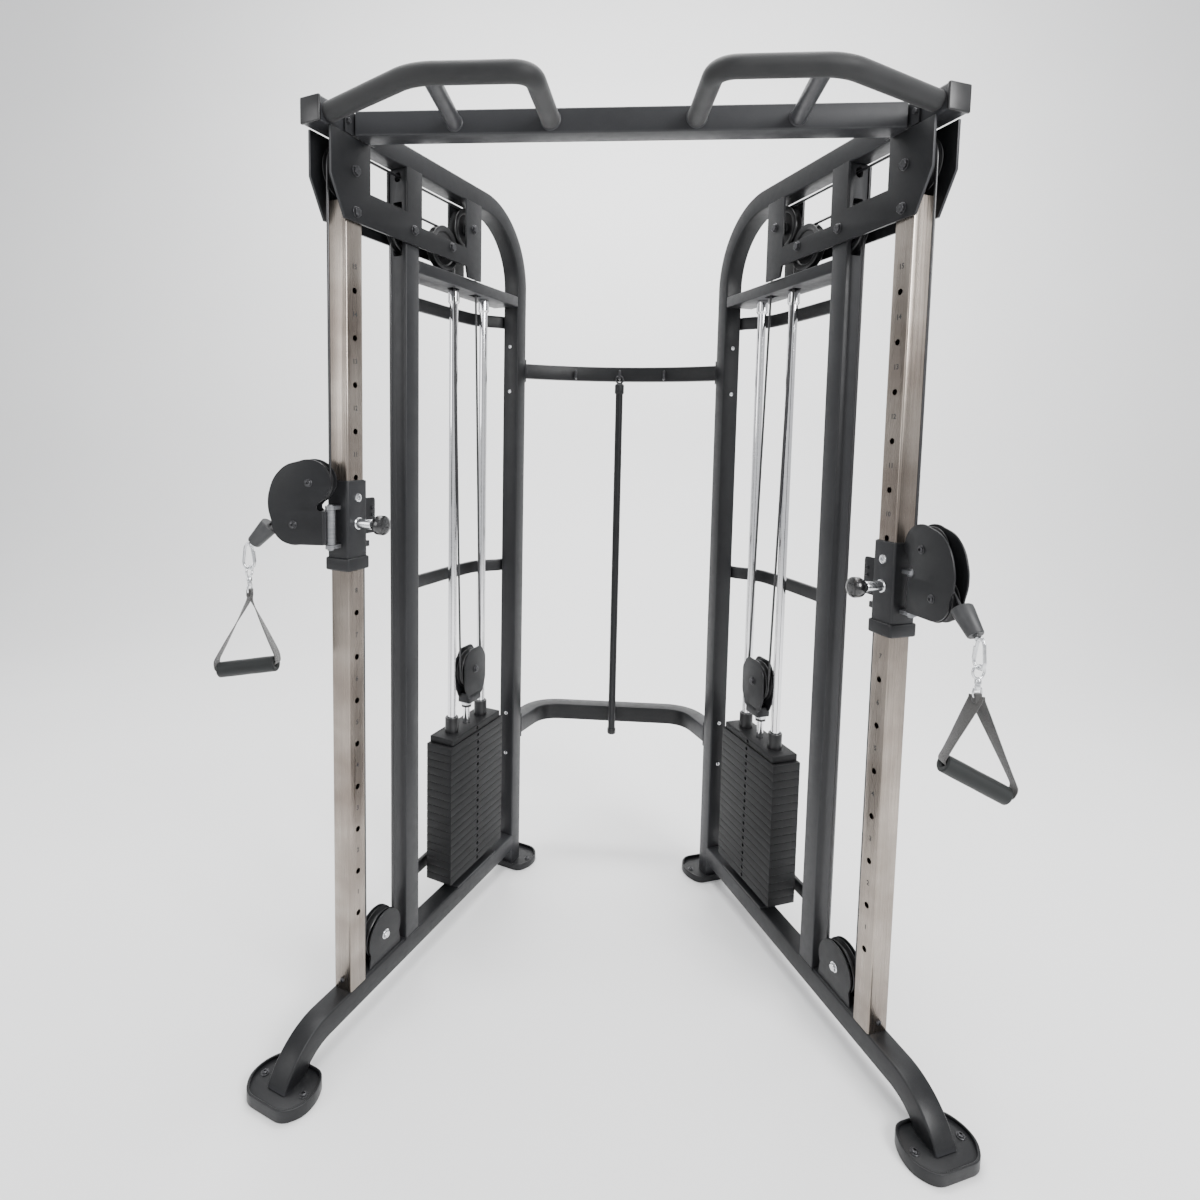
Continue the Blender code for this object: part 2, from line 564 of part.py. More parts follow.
    def cable(self):
        end = Vector(STOP_NEAR) - (Vector(STOP_FAR) - Vector(STOP_NEAR)).normalized() * 0.001
        upper, lower = SWIVEL_PULLEYS["upper"], SWIVEL_PULLEYS["lower"]
        arm = [tuple(end)] + arc(lower, SWIVEL_CABLE_R, 42, 79.3, 2)
        arm += arc(upper, SWIVEL_CABLE_R, 259.3, 180, 4)
        path = [self.arm_point(a, z) for a, z in arm]
        turns = (("top_front_pulley", 180, 90, 4), ("top_rear_pulley", 90, -1.5, 4))
        for name, start, stop, steps in turns:
            path += [self.p(MID, u, z) for u, z in arc(FRAME_PULLEYS[name], CABLE_TURN_R, start,
                                                       stop, steps)]
        path += [self.p(STACK_PULLEY_O, u, z) for u, z in arc((STACK_U, STACK_PULLEY_Z), CABLE_TURN_R, -2,
                                                     -178, 8)]
        for name, start, stop, steps in (("return_pulley", 2.4, 90, 4), ("mid_pulley", 90, 180, 4),
                                         ("low_pulley", 0, -180, 8)):
            path += [self.p(MID, u, z) for u, z in arc(FRAME_PULLEYS[name], CABLE_TURN_R, start,
                                                       stop, steps)]
        path.append(self.p(MID, FRAME_PULLEYS["low_pulley"][0] - CABLE_TURN_R,
                           self.pin - 0.060 - GAP))
        self.add("cable", CABLE, (0, 0, 0), tube(path, CABLE_R))

    def build(self):
        for make in (self.base_rail, self.arch_frame, self.mid_upright, self.guide_post,
                     self.rod_header, self.gussets, self.guide_rods, self.stack, self.pulleys,
                     self.carriage, self.pop_pin, self.cable):
            make()
        arm = self.arm_frame()
        for make in (self.swivel_bracket, self.swivel_pulleys, self.cable_stop,
                     self.handle_strap, self.handle_grip):
            make(arm)


# ---- centre pieces, in the assembly frame ---------------------------------------------------
def side_matrix(sign):
    return Matrix.Translation((sign * POST_X, POST_Y, 0)) @ Matrix.Rotation(sign * SPLAY, 4, 'Z')


def side_xy(sign, o, u):
    point = side_matrix(sign) @ Vector((sign * o, u, 0))
    return (point.x, point.y)


def top_crossmember():
    def corner(sign, y, back):
        u = (y - POST_Y) / math.cos(SPLAY)
        return (sign * (POST_X - u * math.sin(SPLAY) - back), y)
    outline = [corner(-1, -0.463, GAP), corner(1, -0.463, GAP), corner(1, -0.413, GAP),
               corner(-1, -0.413, GAP)]
    body("top_crossmember", CHARCOAL, ROOT, (0, 0, 0),
         flat(outline, ARCH_HIGH - ARCH_LOW, (ARCH_HIGH + ARCH_LOW) / 2, "ou"))


def pull_up_bar(sign, name):
    end = side_xy(sign, -0.0065, -0.070)
    path = rounded([end, (sign * 0.378, -0.655), (sign * 0.161, -0.655), (sign * 0.147, -0.4550)],
                   0.040, 4)
    bar = tube([(x, y, 2.022) for x, y in path], 0.0195)
    strut = rod((sign * 0.346, -0.4640, 2.019), (sign * 0.346, -0.648, 2.019), 0.016)
    trim = box((sign * 0.06, -0.4634, 1.95), (sign * 0.24, -0.42, 2.09))
    body(name, RUBBER, ROOT, (0, 0, 0), bar, *plus(strut), *minus(trim))


def rear_ends(z0, z1):
    """Flanges bolted to the rear faces of the two rear uprights, and the blocks they clear."""
    flanges, clear = [], []
    for sign in (-1, 1):
        place = side_matrix(sign)
        flanges.append(moved(box((sign * 0.001, REAR_BACK + GAP, z0 - 0.012),
                                 (sign * 0.049, REAR_BACK + 0.0063, z1 + 0.012)), place))
        clear.append(moved(box((-0.12, REAR_BACK - 0.15, z0 - 0.1),
                               (0.12, REAR_BACK + 0.0010, z1 + 0.1)), place))
    return flanges, clear


def rear_crossmember(name, path, width, z0, z1, extras=()):
    flanges, clear = rear_ends(z0, z1)
    bar = flat(band(path, width), z1 - z0, (z0 + z1) / 2, "ou")
    body(name, CHARCOAL, ROOT, (0, 0, 0), bar, *minus(*clear), *plus(*flanges, *extras))


def rear_crossmembers():
    ends = [side_xy(sign, MID, REAR_BACK) for sign in (-1, 1)]
    rise = 0.345 - ends[0][1]
    radius = (ends[1][0] ** 2 + rise ** 2) / (2 * rise)
    half = math.degrees(math.asin(ends[1][0] / radius)) + 1.5
    bow = arc((0, 0.345 - radius), radius, 90 + half, 90 - half, 20)
    hooks = []
    for x in (-0.138, 0.0, 0.138):
        face = math.sqrt((radius - 0.008) ** 2 - x ** 2) + 0.345 - radius
        hooks.append(tube([(x, face, 1.566), (x, 0.302, 1.566), (x, 0.297, 1.568),
                           (x, 0.295, 1.573), (x, 0.295, 1.588)], 0.004))
    rear_crossmember("rear_upper_crossmember", bow, 0.030, 1.559, 1.604, hooks)
    lower = [tuple(Vector(ends[0]) + Vector((-0.02, -0.022))), (-0.250, 0.395), (0.250, 0.395),
             tuple(Vector(ends[1]) + Vector((0.02, -0.022)))]
    rear_crossmember("rear_lower_crossmember", rounded(lower, 0.075, 6), 0.050, 0.424, 0.476)


def accessory_bar():
    centre_y, ring_z = 0.312, 1.5623
    profile = [(0, 1.551), (0.008, 1.551), (0.0145, 1.546), (0.0145, 1.520), (0.0115, 1.518),
               (0.0115, 0.424), (0.0135, 0.424), (0.0135, 0.410), (0.011, 0.408), (0, 0.408)]
    ring = tube([(0.011 * math.sin(math.radians(30 * i)), centre_y,
                  ring_z + 0.011 * math.cos(math.radians(30 * i))) for i in range(12)], 0.003,
                closed=True)
    body("accessory_bar", CHROME, ROOT, (0, centre_y, 1.566),
         turned(profile, Matrix.Translation((0, centre_y, 0))), *plus(ring))


for tower in (Tower(LEFT), Tower(RIGHT)):
    tower.build()
top_crossmember()
pull_up_bar(-1, "left_pull_up_bar")
pull_up_bar(1, "right_pull_up_bar")
rear_crossmembers()
accessory_bar()

for shape in PARTS.objects:
    if shape.type == 'MESH':
        shape.data.shade_smooth()
        shape.data.set_sharp_from_angle(angle=math.radians(35))
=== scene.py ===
"""Looks of the functional trainer: every CAD node is shown by finely modelled pieces.

Each tower has a side frame: o runs outward, u rearward along the tower, z up, in metres.
"""
import math

import bmesh
import bpy
from mathutils import Matrix, Vector


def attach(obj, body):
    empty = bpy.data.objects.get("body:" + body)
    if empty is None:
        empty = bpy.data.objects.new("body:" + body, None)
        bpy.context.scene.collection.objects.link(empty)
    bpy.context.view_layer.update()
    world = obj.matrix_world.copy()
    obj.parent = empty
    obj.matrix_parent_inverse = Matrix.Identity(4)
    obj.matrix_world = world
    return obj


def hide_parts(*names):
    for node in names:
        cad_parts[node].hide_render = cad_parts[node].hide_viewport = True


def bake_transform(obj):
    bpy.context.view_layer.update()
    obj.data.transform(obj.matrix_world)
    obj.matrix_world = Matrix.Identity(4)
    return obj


# ---- layout, the same numbers as the CAD part ----
CENTRE_X, CENTRE_Y = 0.06549, 0.13549
SPLAY = math.radians(21.65)
SMOOTH_BELOW = math.radians(32)        # flatter edges than this are shaded smooth
UV_PER_METRE = 40
POST_X, POST_Y = 0.5643, -0.45
TUBE = 0.050
MID = TUBE / 2
RAIL_Z, ARCH_Z = 0.079, 2.022          # centre heights of the base rail and the top rail
REAR_U = 0.71725                       # centre of the rear upright
POST_TOP = 1.868
HOLE_FIRST, HOLE_PITCH, HOLE_COUNT = 0.283, 0.100, 15
ROD_O, ROD_U, ROD_R = 0.0425, (0.4216, 0.5677), 0.0115
STACK_U, STACK_LOW, STACK_TOP, HEAD_TOP = 0.4947, 0.1305, 0.5242, 0.543
PLATE_COUNT = 18
STACK_PULLEY_O, STACK_PULLEY_Z = 0.030, 0.708
HEADER_LOW, HEADER_HIGH = 1.767, 1.797
PULLEY_R, CABLE_TURN_R, CABLE_R = 0.056, 0.050, 0.003
FRAME_PULLEYS = {"top_front": (0.000, 1.930), "mid": (0.194, 1.859), "return": (0.3455, 1.857),
                 "top_rear": (0.445, 1.928), "low": (0.0998, 0.163)}
SWIVEL_U = -0.050
SWIVEL_PULLEYS = {"upper": (0.041, 0.090), "lower": (0.0756, 0.0)}
SWIVEL_PULLEY_R, SWIVEL_CABLE_R = 0.0455, 0.041
STOP_NEAR, STOP_FAR = (0.134, -0.0035), (0.172, -0.0442)
HITCH_A, HITCH_Z = 0.183, -0.101
STRAP_TOP_Z = -0.151
GRIP_A, GRIP_LENGTH, GRIP_R = 0.190, 0.134, 0.017
GUARD_Z = (0.150, 0.975, 1.725)
GAP = 0.0003                           # between pieces that stand on each other
ON_RAIL = 0.1043                       # foot of the post and of the mid upright
UNDER_ARCH = 1.9967                    # top of the mid upright and of the gusset plates
GUSSET_FACE = 0.0063                   # far face of a gusset plate, from the tube it lies on
AXLE_R = 0.0055
PLATE_HALF_O, PLATE_HALF_U = 0.041, 0.133
LEFT = dict(name="left", sign=-1, pin=HOLE_FIRST + 9 * HOLE_PITCH, arm=68.35, turn=0, tilt=9,
            fork=-0.169, grip=-0.320)
RIGHT = dict(name="right", sign=1, pin=HOLE_FIRST + 8 * HOLE_PITCH, arm=-5.65, turn=103, tilt=-27,
             fork=-0.158, grip=-0.302)

# ---- camera, at the photo's view ----
CAM_AT = (0.0149, -1.937, 1.3805)
CAM_YAW, CAM_PITCH, CAM_ROLL = -4.428, -4.576, 1.037
CAM_LENS, CAM_SHIFT = 21.03, (0.0271, -0.0894)

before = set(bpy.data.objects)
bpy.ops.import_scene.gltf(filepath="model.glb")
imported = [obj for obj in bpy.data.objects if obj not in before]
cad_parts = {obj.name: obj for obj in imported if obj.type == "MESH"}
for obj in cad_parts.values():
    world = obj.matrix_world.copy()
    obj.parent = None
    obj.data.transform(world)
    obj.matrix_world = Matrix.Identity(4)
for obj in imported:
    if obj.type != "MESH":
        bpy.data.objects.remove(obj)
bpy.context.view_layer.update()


# ---- materials ----
class Nodes:
    """A node material built line by line."""

    def __init__(self, name, slot, **sockets):
        self.material = bpy.data.materials.new(name)
        self.material.use_nodes = True
        self.tree = self.material.node_tree
        self.shader = self.tree.nodes["Principled BSDF"]
        self.slot = slot
        for key, value in sockets.items():
            self.shader.inputs[key.replace("_", " ")].default_value = value

    def node(self, kind, links=None, **values):
        made = self.tree.nodes.new(kind)
        for key, value in values.items():
            if key in made.inputs:
                made.inputs[key].default_value = value
            else:
                setattr(made, key, value)
        for key, source in (links or {}).items():
            self.tree.links.new(source, made.inputs[key])
        return made

    def place(self, scale=(1, 1, 1), turn=(0, 0, 0)):
        """Object coordinates, stretched and turned."""
        where = self.node("ShaderNodeTexCoord").outputs["Object"]
        mapping = self.node("ShaderNodeMapping", {"Vector": where})
        mapping.inputs["Scale"].default_value = scale
        mapping.inputs["Rotation"].default_value = turn
        return mapping.outputs["Vector"]

    def noise(self, where, scale, detail=3.0, rough=0.5):
        return self.node("ShaderNodeTexNoise", {"Vector": where}, Scale=scale, Detail=detail,
                         Roughness=rough).outputs["Fac"]

    def ramp(self, fac, low, high, a, b):
        """Map a factor from low..high to values a..b."""
        made = self.node("ShaderNodeMapRange", {"Value": fac})
        for key, value in (("From Min", low), ("From Max", high), ("To Min", a), ("To Max", b)):
            made.inputs[key].default_value = value
        return made.outputs["Result"]

    def mix(self, fac, a, b):
        made = self.node("ShaderNodeMix", data_type='RGBA')
        for index, source in ((0, fac), (6, a), (7, b)):
            if isinstance(source, (tuple, float)):
                made.inputs[index].default_value = (*source, 1) if isinstance(source, tuple) else source
            else:
                self.tree.links.new(source, made.inputs[index])
        return made.outputs[2]

    def math(self, operation, a, b):
        made = self.node("ShaderNodeMath", operation=operation)
        for index, source in enumerate((a, b)):
            if isinstance(source, (int, float)):
                made.inputs[index].default_value = source
            else:
                self.tree.links.new(source, made.inputs[index])
        return made.outputs[0]

    def between(self, fac, a, b, low=0.3, high=0.7):
        """Colour that drifts from a to b as a noise factor goes from low to high."""
        return self.mix(self.ramp(fac, low, high, 0.0, 1.0), a, b)

    def colour(self, source):
        self.tree.links.new(source, self.shader.inputs["Base Color"])

    def rough(self, fac, smooth, matt, low=0.3, high=0.7):
        """Roughness from smooth to matt as a noise factor goes from low to high."""
        self.tree.links.new(self.ramp(fac, low, high, smooth, matt), self.shader.inputs["Roughness"])

    def bump(self, height, distance, strength=1.0):
        made = self.node("ShaderNodeBump", {"Height": height}, Distance=distance, Strength=strength)
        self.tree.links.new(made.outputs["Normal"], self.shader.inputs["Normal"])


def powder_coat():
    """Charcoal powder coat: fine orange peel, a faint metallic fleck and edges painted lighter, a painted
    highlight with slight rubbing.
    """
    m = Nodes("powder_coat", "charcoal_powder_coat", Metallic=0.0, Specular_IOR_Level=0.30)
    where = m.place()
    cloud = m.noise(where, 9, 4)
    fleck = m.noise(where, 1400, 2)
    body = m.between(cloud, (0.0060, 0.0062, 0.0070), (0.0105, 0.0108, 0.0120))
    spark = m.mix(m.ramp(fleck, 0.60, 0.72, 0.0, 0.5), body, (0.038, 0.040, 0.044))
    # painted edge highlight: convex edges made lighter by pointiness, with a little rubbed wear
    edge = m.node("ShaderNodeNewGeometry").outputs["Pointiness"]
    m.colour(m.mix(m.ramp(edge, 0.53, 0.60, 0.0, 0.5), spark, (0.060, 0.061, 0.066)))
    m.rough(m.noise(where, 60, 3), 0.34, 0.44)
    m.bump(m.noise(where, 650, 3), 0.00012, 0.6)
    return m


def nickel():
    """Satin nickel on the post: long brush lines, a warm tint and darker bands at intervals up its height."""
    m = Nodes("nickel_tube", "nickel_tube", Metallic=1.0, Anisotropic=0.4)
    lines = m.noise(m.place((260, 260, 3)), 1.0, 4, 0.65)
    marks = m.noise(m.place(), 7, 5)
    tint = m.between(marks, (0.25, 0.215, 0.185), (0.43, 0.385, 0.34))
    bands = m.noise(m.place((2, 2, 5)), 1.0, 3, 0.6)
    # darker bands at intervals up the post, mixed over the tint
    banded = m.mix(m.ramp(bands, 0.42, 0.68, 0.0, 0.75), tint, (0.15, 0.115, 0.095))
    m.colour(m.mix(m.ramp(lines, 0.35, 0.65, 0.0, 0.4), banded, (0.19, 0.165, 0.145)))
    m.rough(lines, 0.22, 0.36)
    m.bump(lines, 0.00004, 0.5)
    return m


def chrome():
    """Polished chrome with very light grinding lines around the bar."""
    m = Nodes("chrome_rod", "chrome_rod", Metallic=1.0)
    lines = m.noise(m.place((30, 30, 900)), 1.0, 2)
    m.colour(m.between(lines, (0.80, 0.80, 0.82), (0.88, 0.88, 0.89)))
    m.rough(m.noise(m.place(), 18, 4), 0.06, 0.12)
    m.bump(lines, 0.00001, 0.3)
    return m


def plate_paint():
    """Matt black paint on the plates, with a hammered grain and a faint cloudy drift in tone."""
    m = Nodes("plate_paint", "plate_iron", Specular_IOR_Level=0.24)
    where = m.place()
    grain = m.noise(where, 420, 4, 0.6)
    cloud = m.noise(where, 14, 4)
    m.colour(m.between(cloud, (0.0040, 0.0041, 0.0046), (0.0080, 0.0082, 0.0090)))
    m.rough(grain, 0.48, 0.62)
    m.bump(grain, 0.00025, 0.7)
    return m


def two_tone(name, slot, shades, rough, drift, grain, relief, stretch=(1, 1, 1), **sockets):
    """Material whose shade and roughness drift together, with a fine grain in relief."""
    m = Nodes(name, slot, **sockets)
    where = m.place(stretch)
    cloud = m.noise(where, *drift)
    m.colour(m.between(cloud, *shades))
    m.rough(cloud, *rough)
    m.bump(m.noise(where, *grain) if grain else cloud, *relief)
    return m


def cable_sheath():
    """Smooth black sheath with the strands just showing through."""
    m = Nodes("cable_sheath", "cable_sheath", Roughness=0.32, Coat_Weight=0.25)
    where = m.place((1, 1, 1), (0.3, 0.2, 0))
    wave = m.node("ShaderNodeTexWave", {"Vector": where}, Scale=320.0, Distortion=0.4)
    m.colour(m.between(wave.outputs["Fac"], (0.010, 0.010, 0.011), (0.022, 0.022, 0.024), 0.2, 0.8))
    m.bump(wave.outputs["Fac"], 0.00008, 0.4)
    return m


def grip_rubber(name, dark, light):
    """Foam rubber with fine pores painted darker inside as painted shade, and a soft sheen, between two
    shades.
    """
    m = Nodes(name, "grip_rubber", Specular_IOR_Level=0.3, Sheen_Weight=0.12, Sheen_Roughness=0.5)
    where = m.place()
    pores = m.node("ShaderNodeTexVoronoi", {"Vector": where}, Scale=900.0).outputs["Distance"]
    cloud = m.noise(where, 25, 4)
    base = m.between(cloud, dark, light)
    # painted shade in the pores: their centres mixed toward half the dark shade
    m.colour(m.mix(m.ramp(pores, 0.0, 0.25, 0.5, 0.0), base, tuple(c * 0.5 for c in dark)))
    m.rough(cloud, 0.52, 0.66)
    m.bump(pores, 0.00025, 0.5)
    return m


def glossy_knob():
    """Polished black plastic of the pull knob, lightly scuffed."""
    m = Nodes("glossy_knob", "black_plastic", Specular_IOR_Level=0.6, Coat_Weight=0.4,
              Coat_Roughness=0.08)
    scuff = m.noise(m.place(), 180, 4)
    m.colour(m.between(scuff, (0.005, 0.005, 0.0055), (0.014, 0.014, 0.015), 0.4, 0.8))
    m.rough(scuff, 0.14, 0.30, high=0.8)
    m.bump(scuff, 0.00003, 0.3)
    return m


def webbing():
    """Dark nylon webbing: crossed ribs, painted lighter where they cross and darker in the grooves as painted
    light and shade, with a thread sheen.
    """
    m = Nodes("webbing", "webbing", Roughness=0.72, Sheen_Weight=0.4)
    where = m.node("ShaderNodeTexCoord").outputs["UV"]
    rib = m.node("ShaderNodeTexWave", {"Vector": where}, Scale=9.0, Distortion=0.3,
                 bands_direction='X')
    cross = m.node("ShaderNodeTexWave", {"Vector": where}, Scale=22.0, Distortion=0.5,
                   bands_direction='Y')
    weave = m.math('MULTIPLY', rib.outputs["Fac"], cross.outputs["Fac"])
    dirt = m.noise(m.place(), 60, 4)
    # painted highlight and shade of the weave: lighter where the ribs cross, darker in the grooves
    thread = m.between(weave, (0.022, 0.021, 0.020), (0.070, 0.066, 0.063), 0.0, 0.8)
    m.colour(m.mix(m.ramp(dirt, 0.45, 0.75, 0.0, 0.3), thread, (0.035, 0.033, 0.031)))
    m.bump(weave, 0.0004, 0.8)
    return m


def ink():
    """Black ink of the hole numbers, with a little wear."""
    m = Nodes("number_ink", "nickel_tube", Roughness=0.6)
    wear = m.noise(m.place(), 1500, 3)
    m.colour(m.mix(m.ramp(wear, 0.62, 0.75, 0.0, 0.5), (0.02, 0.02, 0.02), (0.3, 0.28, 0.26)))
    m.bump(wear, 0.00002, 0.3)
    return m


def pale(name, colour):
    """Matt studio surface with a barely visible variation."""
    m = Nodes(name, "")
    cloud = m.noise(m.place(), 1.5, 3)
    shade = tuple(c * 0.985 for c in colour)
    m.colour(m.between(cloud, shade, colour))
    m.rough(cloud, 0.55, 0.65)
    return m


COAT, NICKEL, CHROME, PLATE = powder_coat(), nickel(), chrome(), plate_paint()
SHEATH, STRAP, INK, KNOB = cable_sheath(), webbing(), ink(), glossy_knob()
ZINC = two_tone("zinc", "zinc_hardware", ((0.62, 0.63, 0.65), (0.76, 0.77, 0.78)), (0.16, 0.28),
                (160, 4), (900, 2), (0.00003, 0.4), Metallic=1.0)
BOLT = two_tone("black_oxide", "zinc_hardware", ((0.035, 0.035, 0.037), (0.085, 0.085, 0.09)),
                (0.28, 0.42), (240, 4), None, (0.00005, 0.4), Metallic=0.8)
HINGE = two_tone("hinge_steel", "charcoal_powder_coat", ((0.20, 0.205, 0.215), (0.30, 0.305, 0.315)),
                 (0.30, 0.42), (1.0, 3), None, (0.00003, 0.5), (40, 40, 700), Metallic=0.85)
NYLON = two_tone("black_nylon", "black_plastic", ((0.0040, 0.0040, 0.0045), (0.0085, 0.0085, 0.0095)),
                 (0.30, 0.42), (30, 3), (1100, 2), (0.00004, 0.5), Specular_IOR_Level=0.55)
RUBBER = two_tone("moulded_rubber", "moulded_rubber", ((0.022, 0.0225, 0.024), (0.040, 0.0405, 0.042)),
                  (0.38, 0.52), (45, 4), (800, 3), (0.00006, 0.5), Specular_IOR_Level=0.4)
GRIP = grip_rubber("grip_rubber", (0.0040, 0.0050, 0.0050), (0.0085, 0.0105, 0.0105))
BAR = grip_rubber("bar_rubber", (0.0100, 0.0103, 0.0108), (0.0165, 0.0168, 0.0175))


# ---- mesh makers ----
def mesh_of(bm, name="piece"):
    bmesh.ops.recalc_face_normals(bm, faces=bm.faces)
    mesh = bpy.data.meshes.new(name)
    bm.to_mesh(mesh)
    bm.free()
    return mesh


def block(low, high, edge=0.002, segments=3):
    """Box between two corners with rounded edges."""
    low, high = Vector(low), Vector(high)
    size = Vector([abs(a - b) for a, b in zip(low, high)])
    bm = bmesh.new()
    bmesh.ops.create_cube(bm, size=1, matrix=Matrix.Translation((low + high) / 2)
                          @ Matrix.Diagonal((*size, 1)))
    edge = min(edge, min(size) * 0.45)
    bmesh.ops.bevel(bm, geom=list(bm.edges), offset=edge, segments=segments, profile=0.5,
                    affect='EDGES')
    return mesh_of(bm)


def aim(direction, at=(0, 0, 0)):
    """Matrix that takes +Z to a direction, from a point."""
    return Matrix.Translation(at) @ Vector((0, 0, 1)).rotation_difference(
        Vector(direction)).to_matrix().to_4x4()


def lathe(profile, matrix=Matrix.Identity(4), segments=48, closed=False):
    """Turned shape from (radius, height) points; a third value of 1 makes that ring a hexagon."""
    bm = bmesh.new()
    rings = []
    for point in profile:
        r, h = point[:2]
        if r < 1e-6:
            rings.append([bm.verts.new(matrix @ Vector((0, 0, h)))] * segments)
            continue
        ring = []
        for i in range(segments):
            a = 2 * math.pi * i / segments
            flat_side = math.cos((a % (math.pi / 3)) - math.pi / 6)
            reach = r / flat_side if len(point) > 2 else r
            ring.append(bm.verts.new(matrix @ Vector((reach * math.cos(a), reach * math.sin(a), h))))
        rings.append(ring)
    pairs = list(zip(rings, rings[1:])) + ([(rings[-1], rings[0])] if closed else [])
    for one, two in pairs:
        for i in range(segments):
            j = (i + 1) % segments
            corners = []
            for v in (one[i], one[j], two[j], two[i]):
                if v not in corners:
                    corners.append(v)
            if len(corners) > 2:
                bm.faces.new(corners)
    return mesh_of(bm)


def rounded_rect(width, height, radius, steps=4):
    """Profile of a rectangle with round corners."""
    out = []
    for sx, sy, start in ((1, 1, 0), (-1, 1, 90), (-1, -1, 180), (1, -1, 270)):
        for i in range(steps + 1):
            a = math.radians(start + 90 * i / steps)
            out.append((sx * (width / 2 - radius) + radius * math.cos(a),
                        sy * (height / 2 - radius) + radius * math.sin(a)))
    return out


def circle(radius, count):
    return [(radius * math.cos(2 * math.pi * i / count), radius * math.sin(2 * math.pi * i / count))
            for i in range(count)]


def sweep(path, profile, up, closed=False, ups=None, uv=False):
    """Profile carried along a path; up is the profile's y direction, x is across the path."""
    bm = bmesh.new()
    layer = bm.loops.layers.uv.new("UVMap") if uv else None
    rings, lengths, total = [], [], 0.0
    count = len(path)
    for i, point in enumerate(path):
        point = Vector(point)
        if closed:
            before, after = Vector(path[i - 1]), Vector(path[(i + 1) % count])
        else:
            before, after = Vector(path[max(i - 1, 0)]), Vector(path[min(i + 1, count - 1)])
        ahead = (after - before).normalized()
        upward = Vector(ups[i] if ups else up)
        upward = (upward - ahead * upward.dot(ahead)).normalized()
        across = ahead.cross(upward)
        widen = 1.0
        if before != point and after != point:
            bend = (point - before).normalized().dot((after - point).normalized())
            widen = 1 / math.sqrt(max((1 + bend) / 2, 0.25))
        rings.append([bm.verts.new(point + across * x * widen + upward * y) for x, y in profile])
        total += (point - before).length if i else 0
        lengths.append(total)
    for i in range(count if closed else count - 1):
        one, two = rings[i], rings[(i + 1) % count]
        for j in range(len(profile)):
            k = (j + 1) % len(profile)
            face = bm.faces.new((one[j], one[k], two[k], two[j]))
            if layer:
                far = lengths[i + 1] if i + 1 < count else total
                spots = ((j, lengths[i]), (k, lengths[i]), (k, far), (j, far))
                for loop, (at, along) in zip(face.loops, spots):
                    loop[layer].uv = (profile[at][1] * UV_PER_METRE, along * UV_PER_METRE)
    if not closed:
        bm.faces.new(rings[0])
        bm.faces.new(rings[-1])
    return mesh_of(bm)


def flat(points, thickness, centre, plane, holes=(), edge=0.0006, segments=2):
    """Plate from a flat outline, edges eased; plane is "uz" or "ou"."""
    curve = bpy.data.curves.new("flat", 'CURVE')
    curve.dimensions, curve.fill_mode = '2D', 'BOTH'
    curve.extrude = thickness / 2 - edge
    curve.bevel_depth, curve.offset, curve.bevel_resolution = edge, -edge, segments
    for loop in (points, *holes):
        spline = curve.splines.new('POLY')
        spline.points.add(len(loop) - 1)
        for point, (x, y) in zip(spline.points, loop):
            point.co = (x, y, 0, 1)
        spline.use_cyclic_u = True
    mesh = read_out(bpy.data.objects.new("flat", curve))
    turn = Matrix(((0, 0, 1, 0), (1, 0, 0, 0), (0, 1, 0, 0), (0, 0, 0, 1)))
    mesh.transform((turn if plane == "uz" else Matrix.Identity(4)) @ Matrix.Translation((0, 0, centre)))
    return mesh


def read_out(obj):
    """Mesh of an object with its modifiers or curve settings, welded; the object goes."""
    bpy.context.scene.collection.objects.link(obj)
    bpy.context.view_layer.update()
    mesh = bpy.data.meshes.new_from_object(obj.evaluated_get(bpy.context.evaluated_depsgraph_get()))
    bpy.data.objects.remove(obj)
    bm = bmesh.new()
    bm.from_mesh(mesh)
    bmesh.ops.remove_doubles(bm, verts=bm.verts, dist=0.00001)
    bmesh.ops.recalc_face_normals(bm, faces=bm.faces)
    bm.to_mesh(mesh)
    bm.free()
    return mesh


def carved(mesh, *tools):
    """Mesh with shapes cut out of it."""
    obj, tool = bpy.data.objects.new("carved", mesh), bpy.data.objects.new("tool", together(tools))
    bpy.context.scene.collection.objects.link(tool)
    cut = obj.modifiers.new("cut", 'BOOLEAN')
    cut.operation, cut.solver, cut.object = 'DIFFERENCE', 'EXACT', tool
    out = read_out(obj)
    bpy.data.objects.remove(tool)
    return out


def together(meshes):
    bm = bmesh.new()
    for mesh in meshes:
        bm.from_mesh(mesh)
    out = bpy.data.meshes.new("together")
    bm.to_mesh(out)
    bm.free()
    return out


def moved(mesh, matrix):
    out = mesh.copy()
    out.transform(matrix)
    return out


def arc(centre, radius, start, end, steps):
    angles = [math.radians(start + (end - start) * i / steps) for i in range(steps + 1)]
    return [(centre[0] + radius * math.cos(a), centre[1] + radius * math.sin(a)) for a in angles]


def rounded(path, radius, steps=8):
    """Polyline with its corners rounded, in any number of dimensions."""
    out = [tuple(path[0])]
    for before, corner, after in zip(path, path[1:], path[2:]):
        corner = Vector(corner)
        back, ahead = Vector(before) - corner, Vector(after) - corner
        reach = min(radius, back.length * 0.48, ahead.length * 0.48)
        a, b = corner + back.normalized() * reach, corner + ahead.normalized() * reach
        out += [tuple(a * (1 - t) ** 2 + corner * 2 * t * (1 - t) + b * t ** 2)
                for t in [i / steps for i in range(steps + 1)]]
    return out + [tuple(path[-1])]


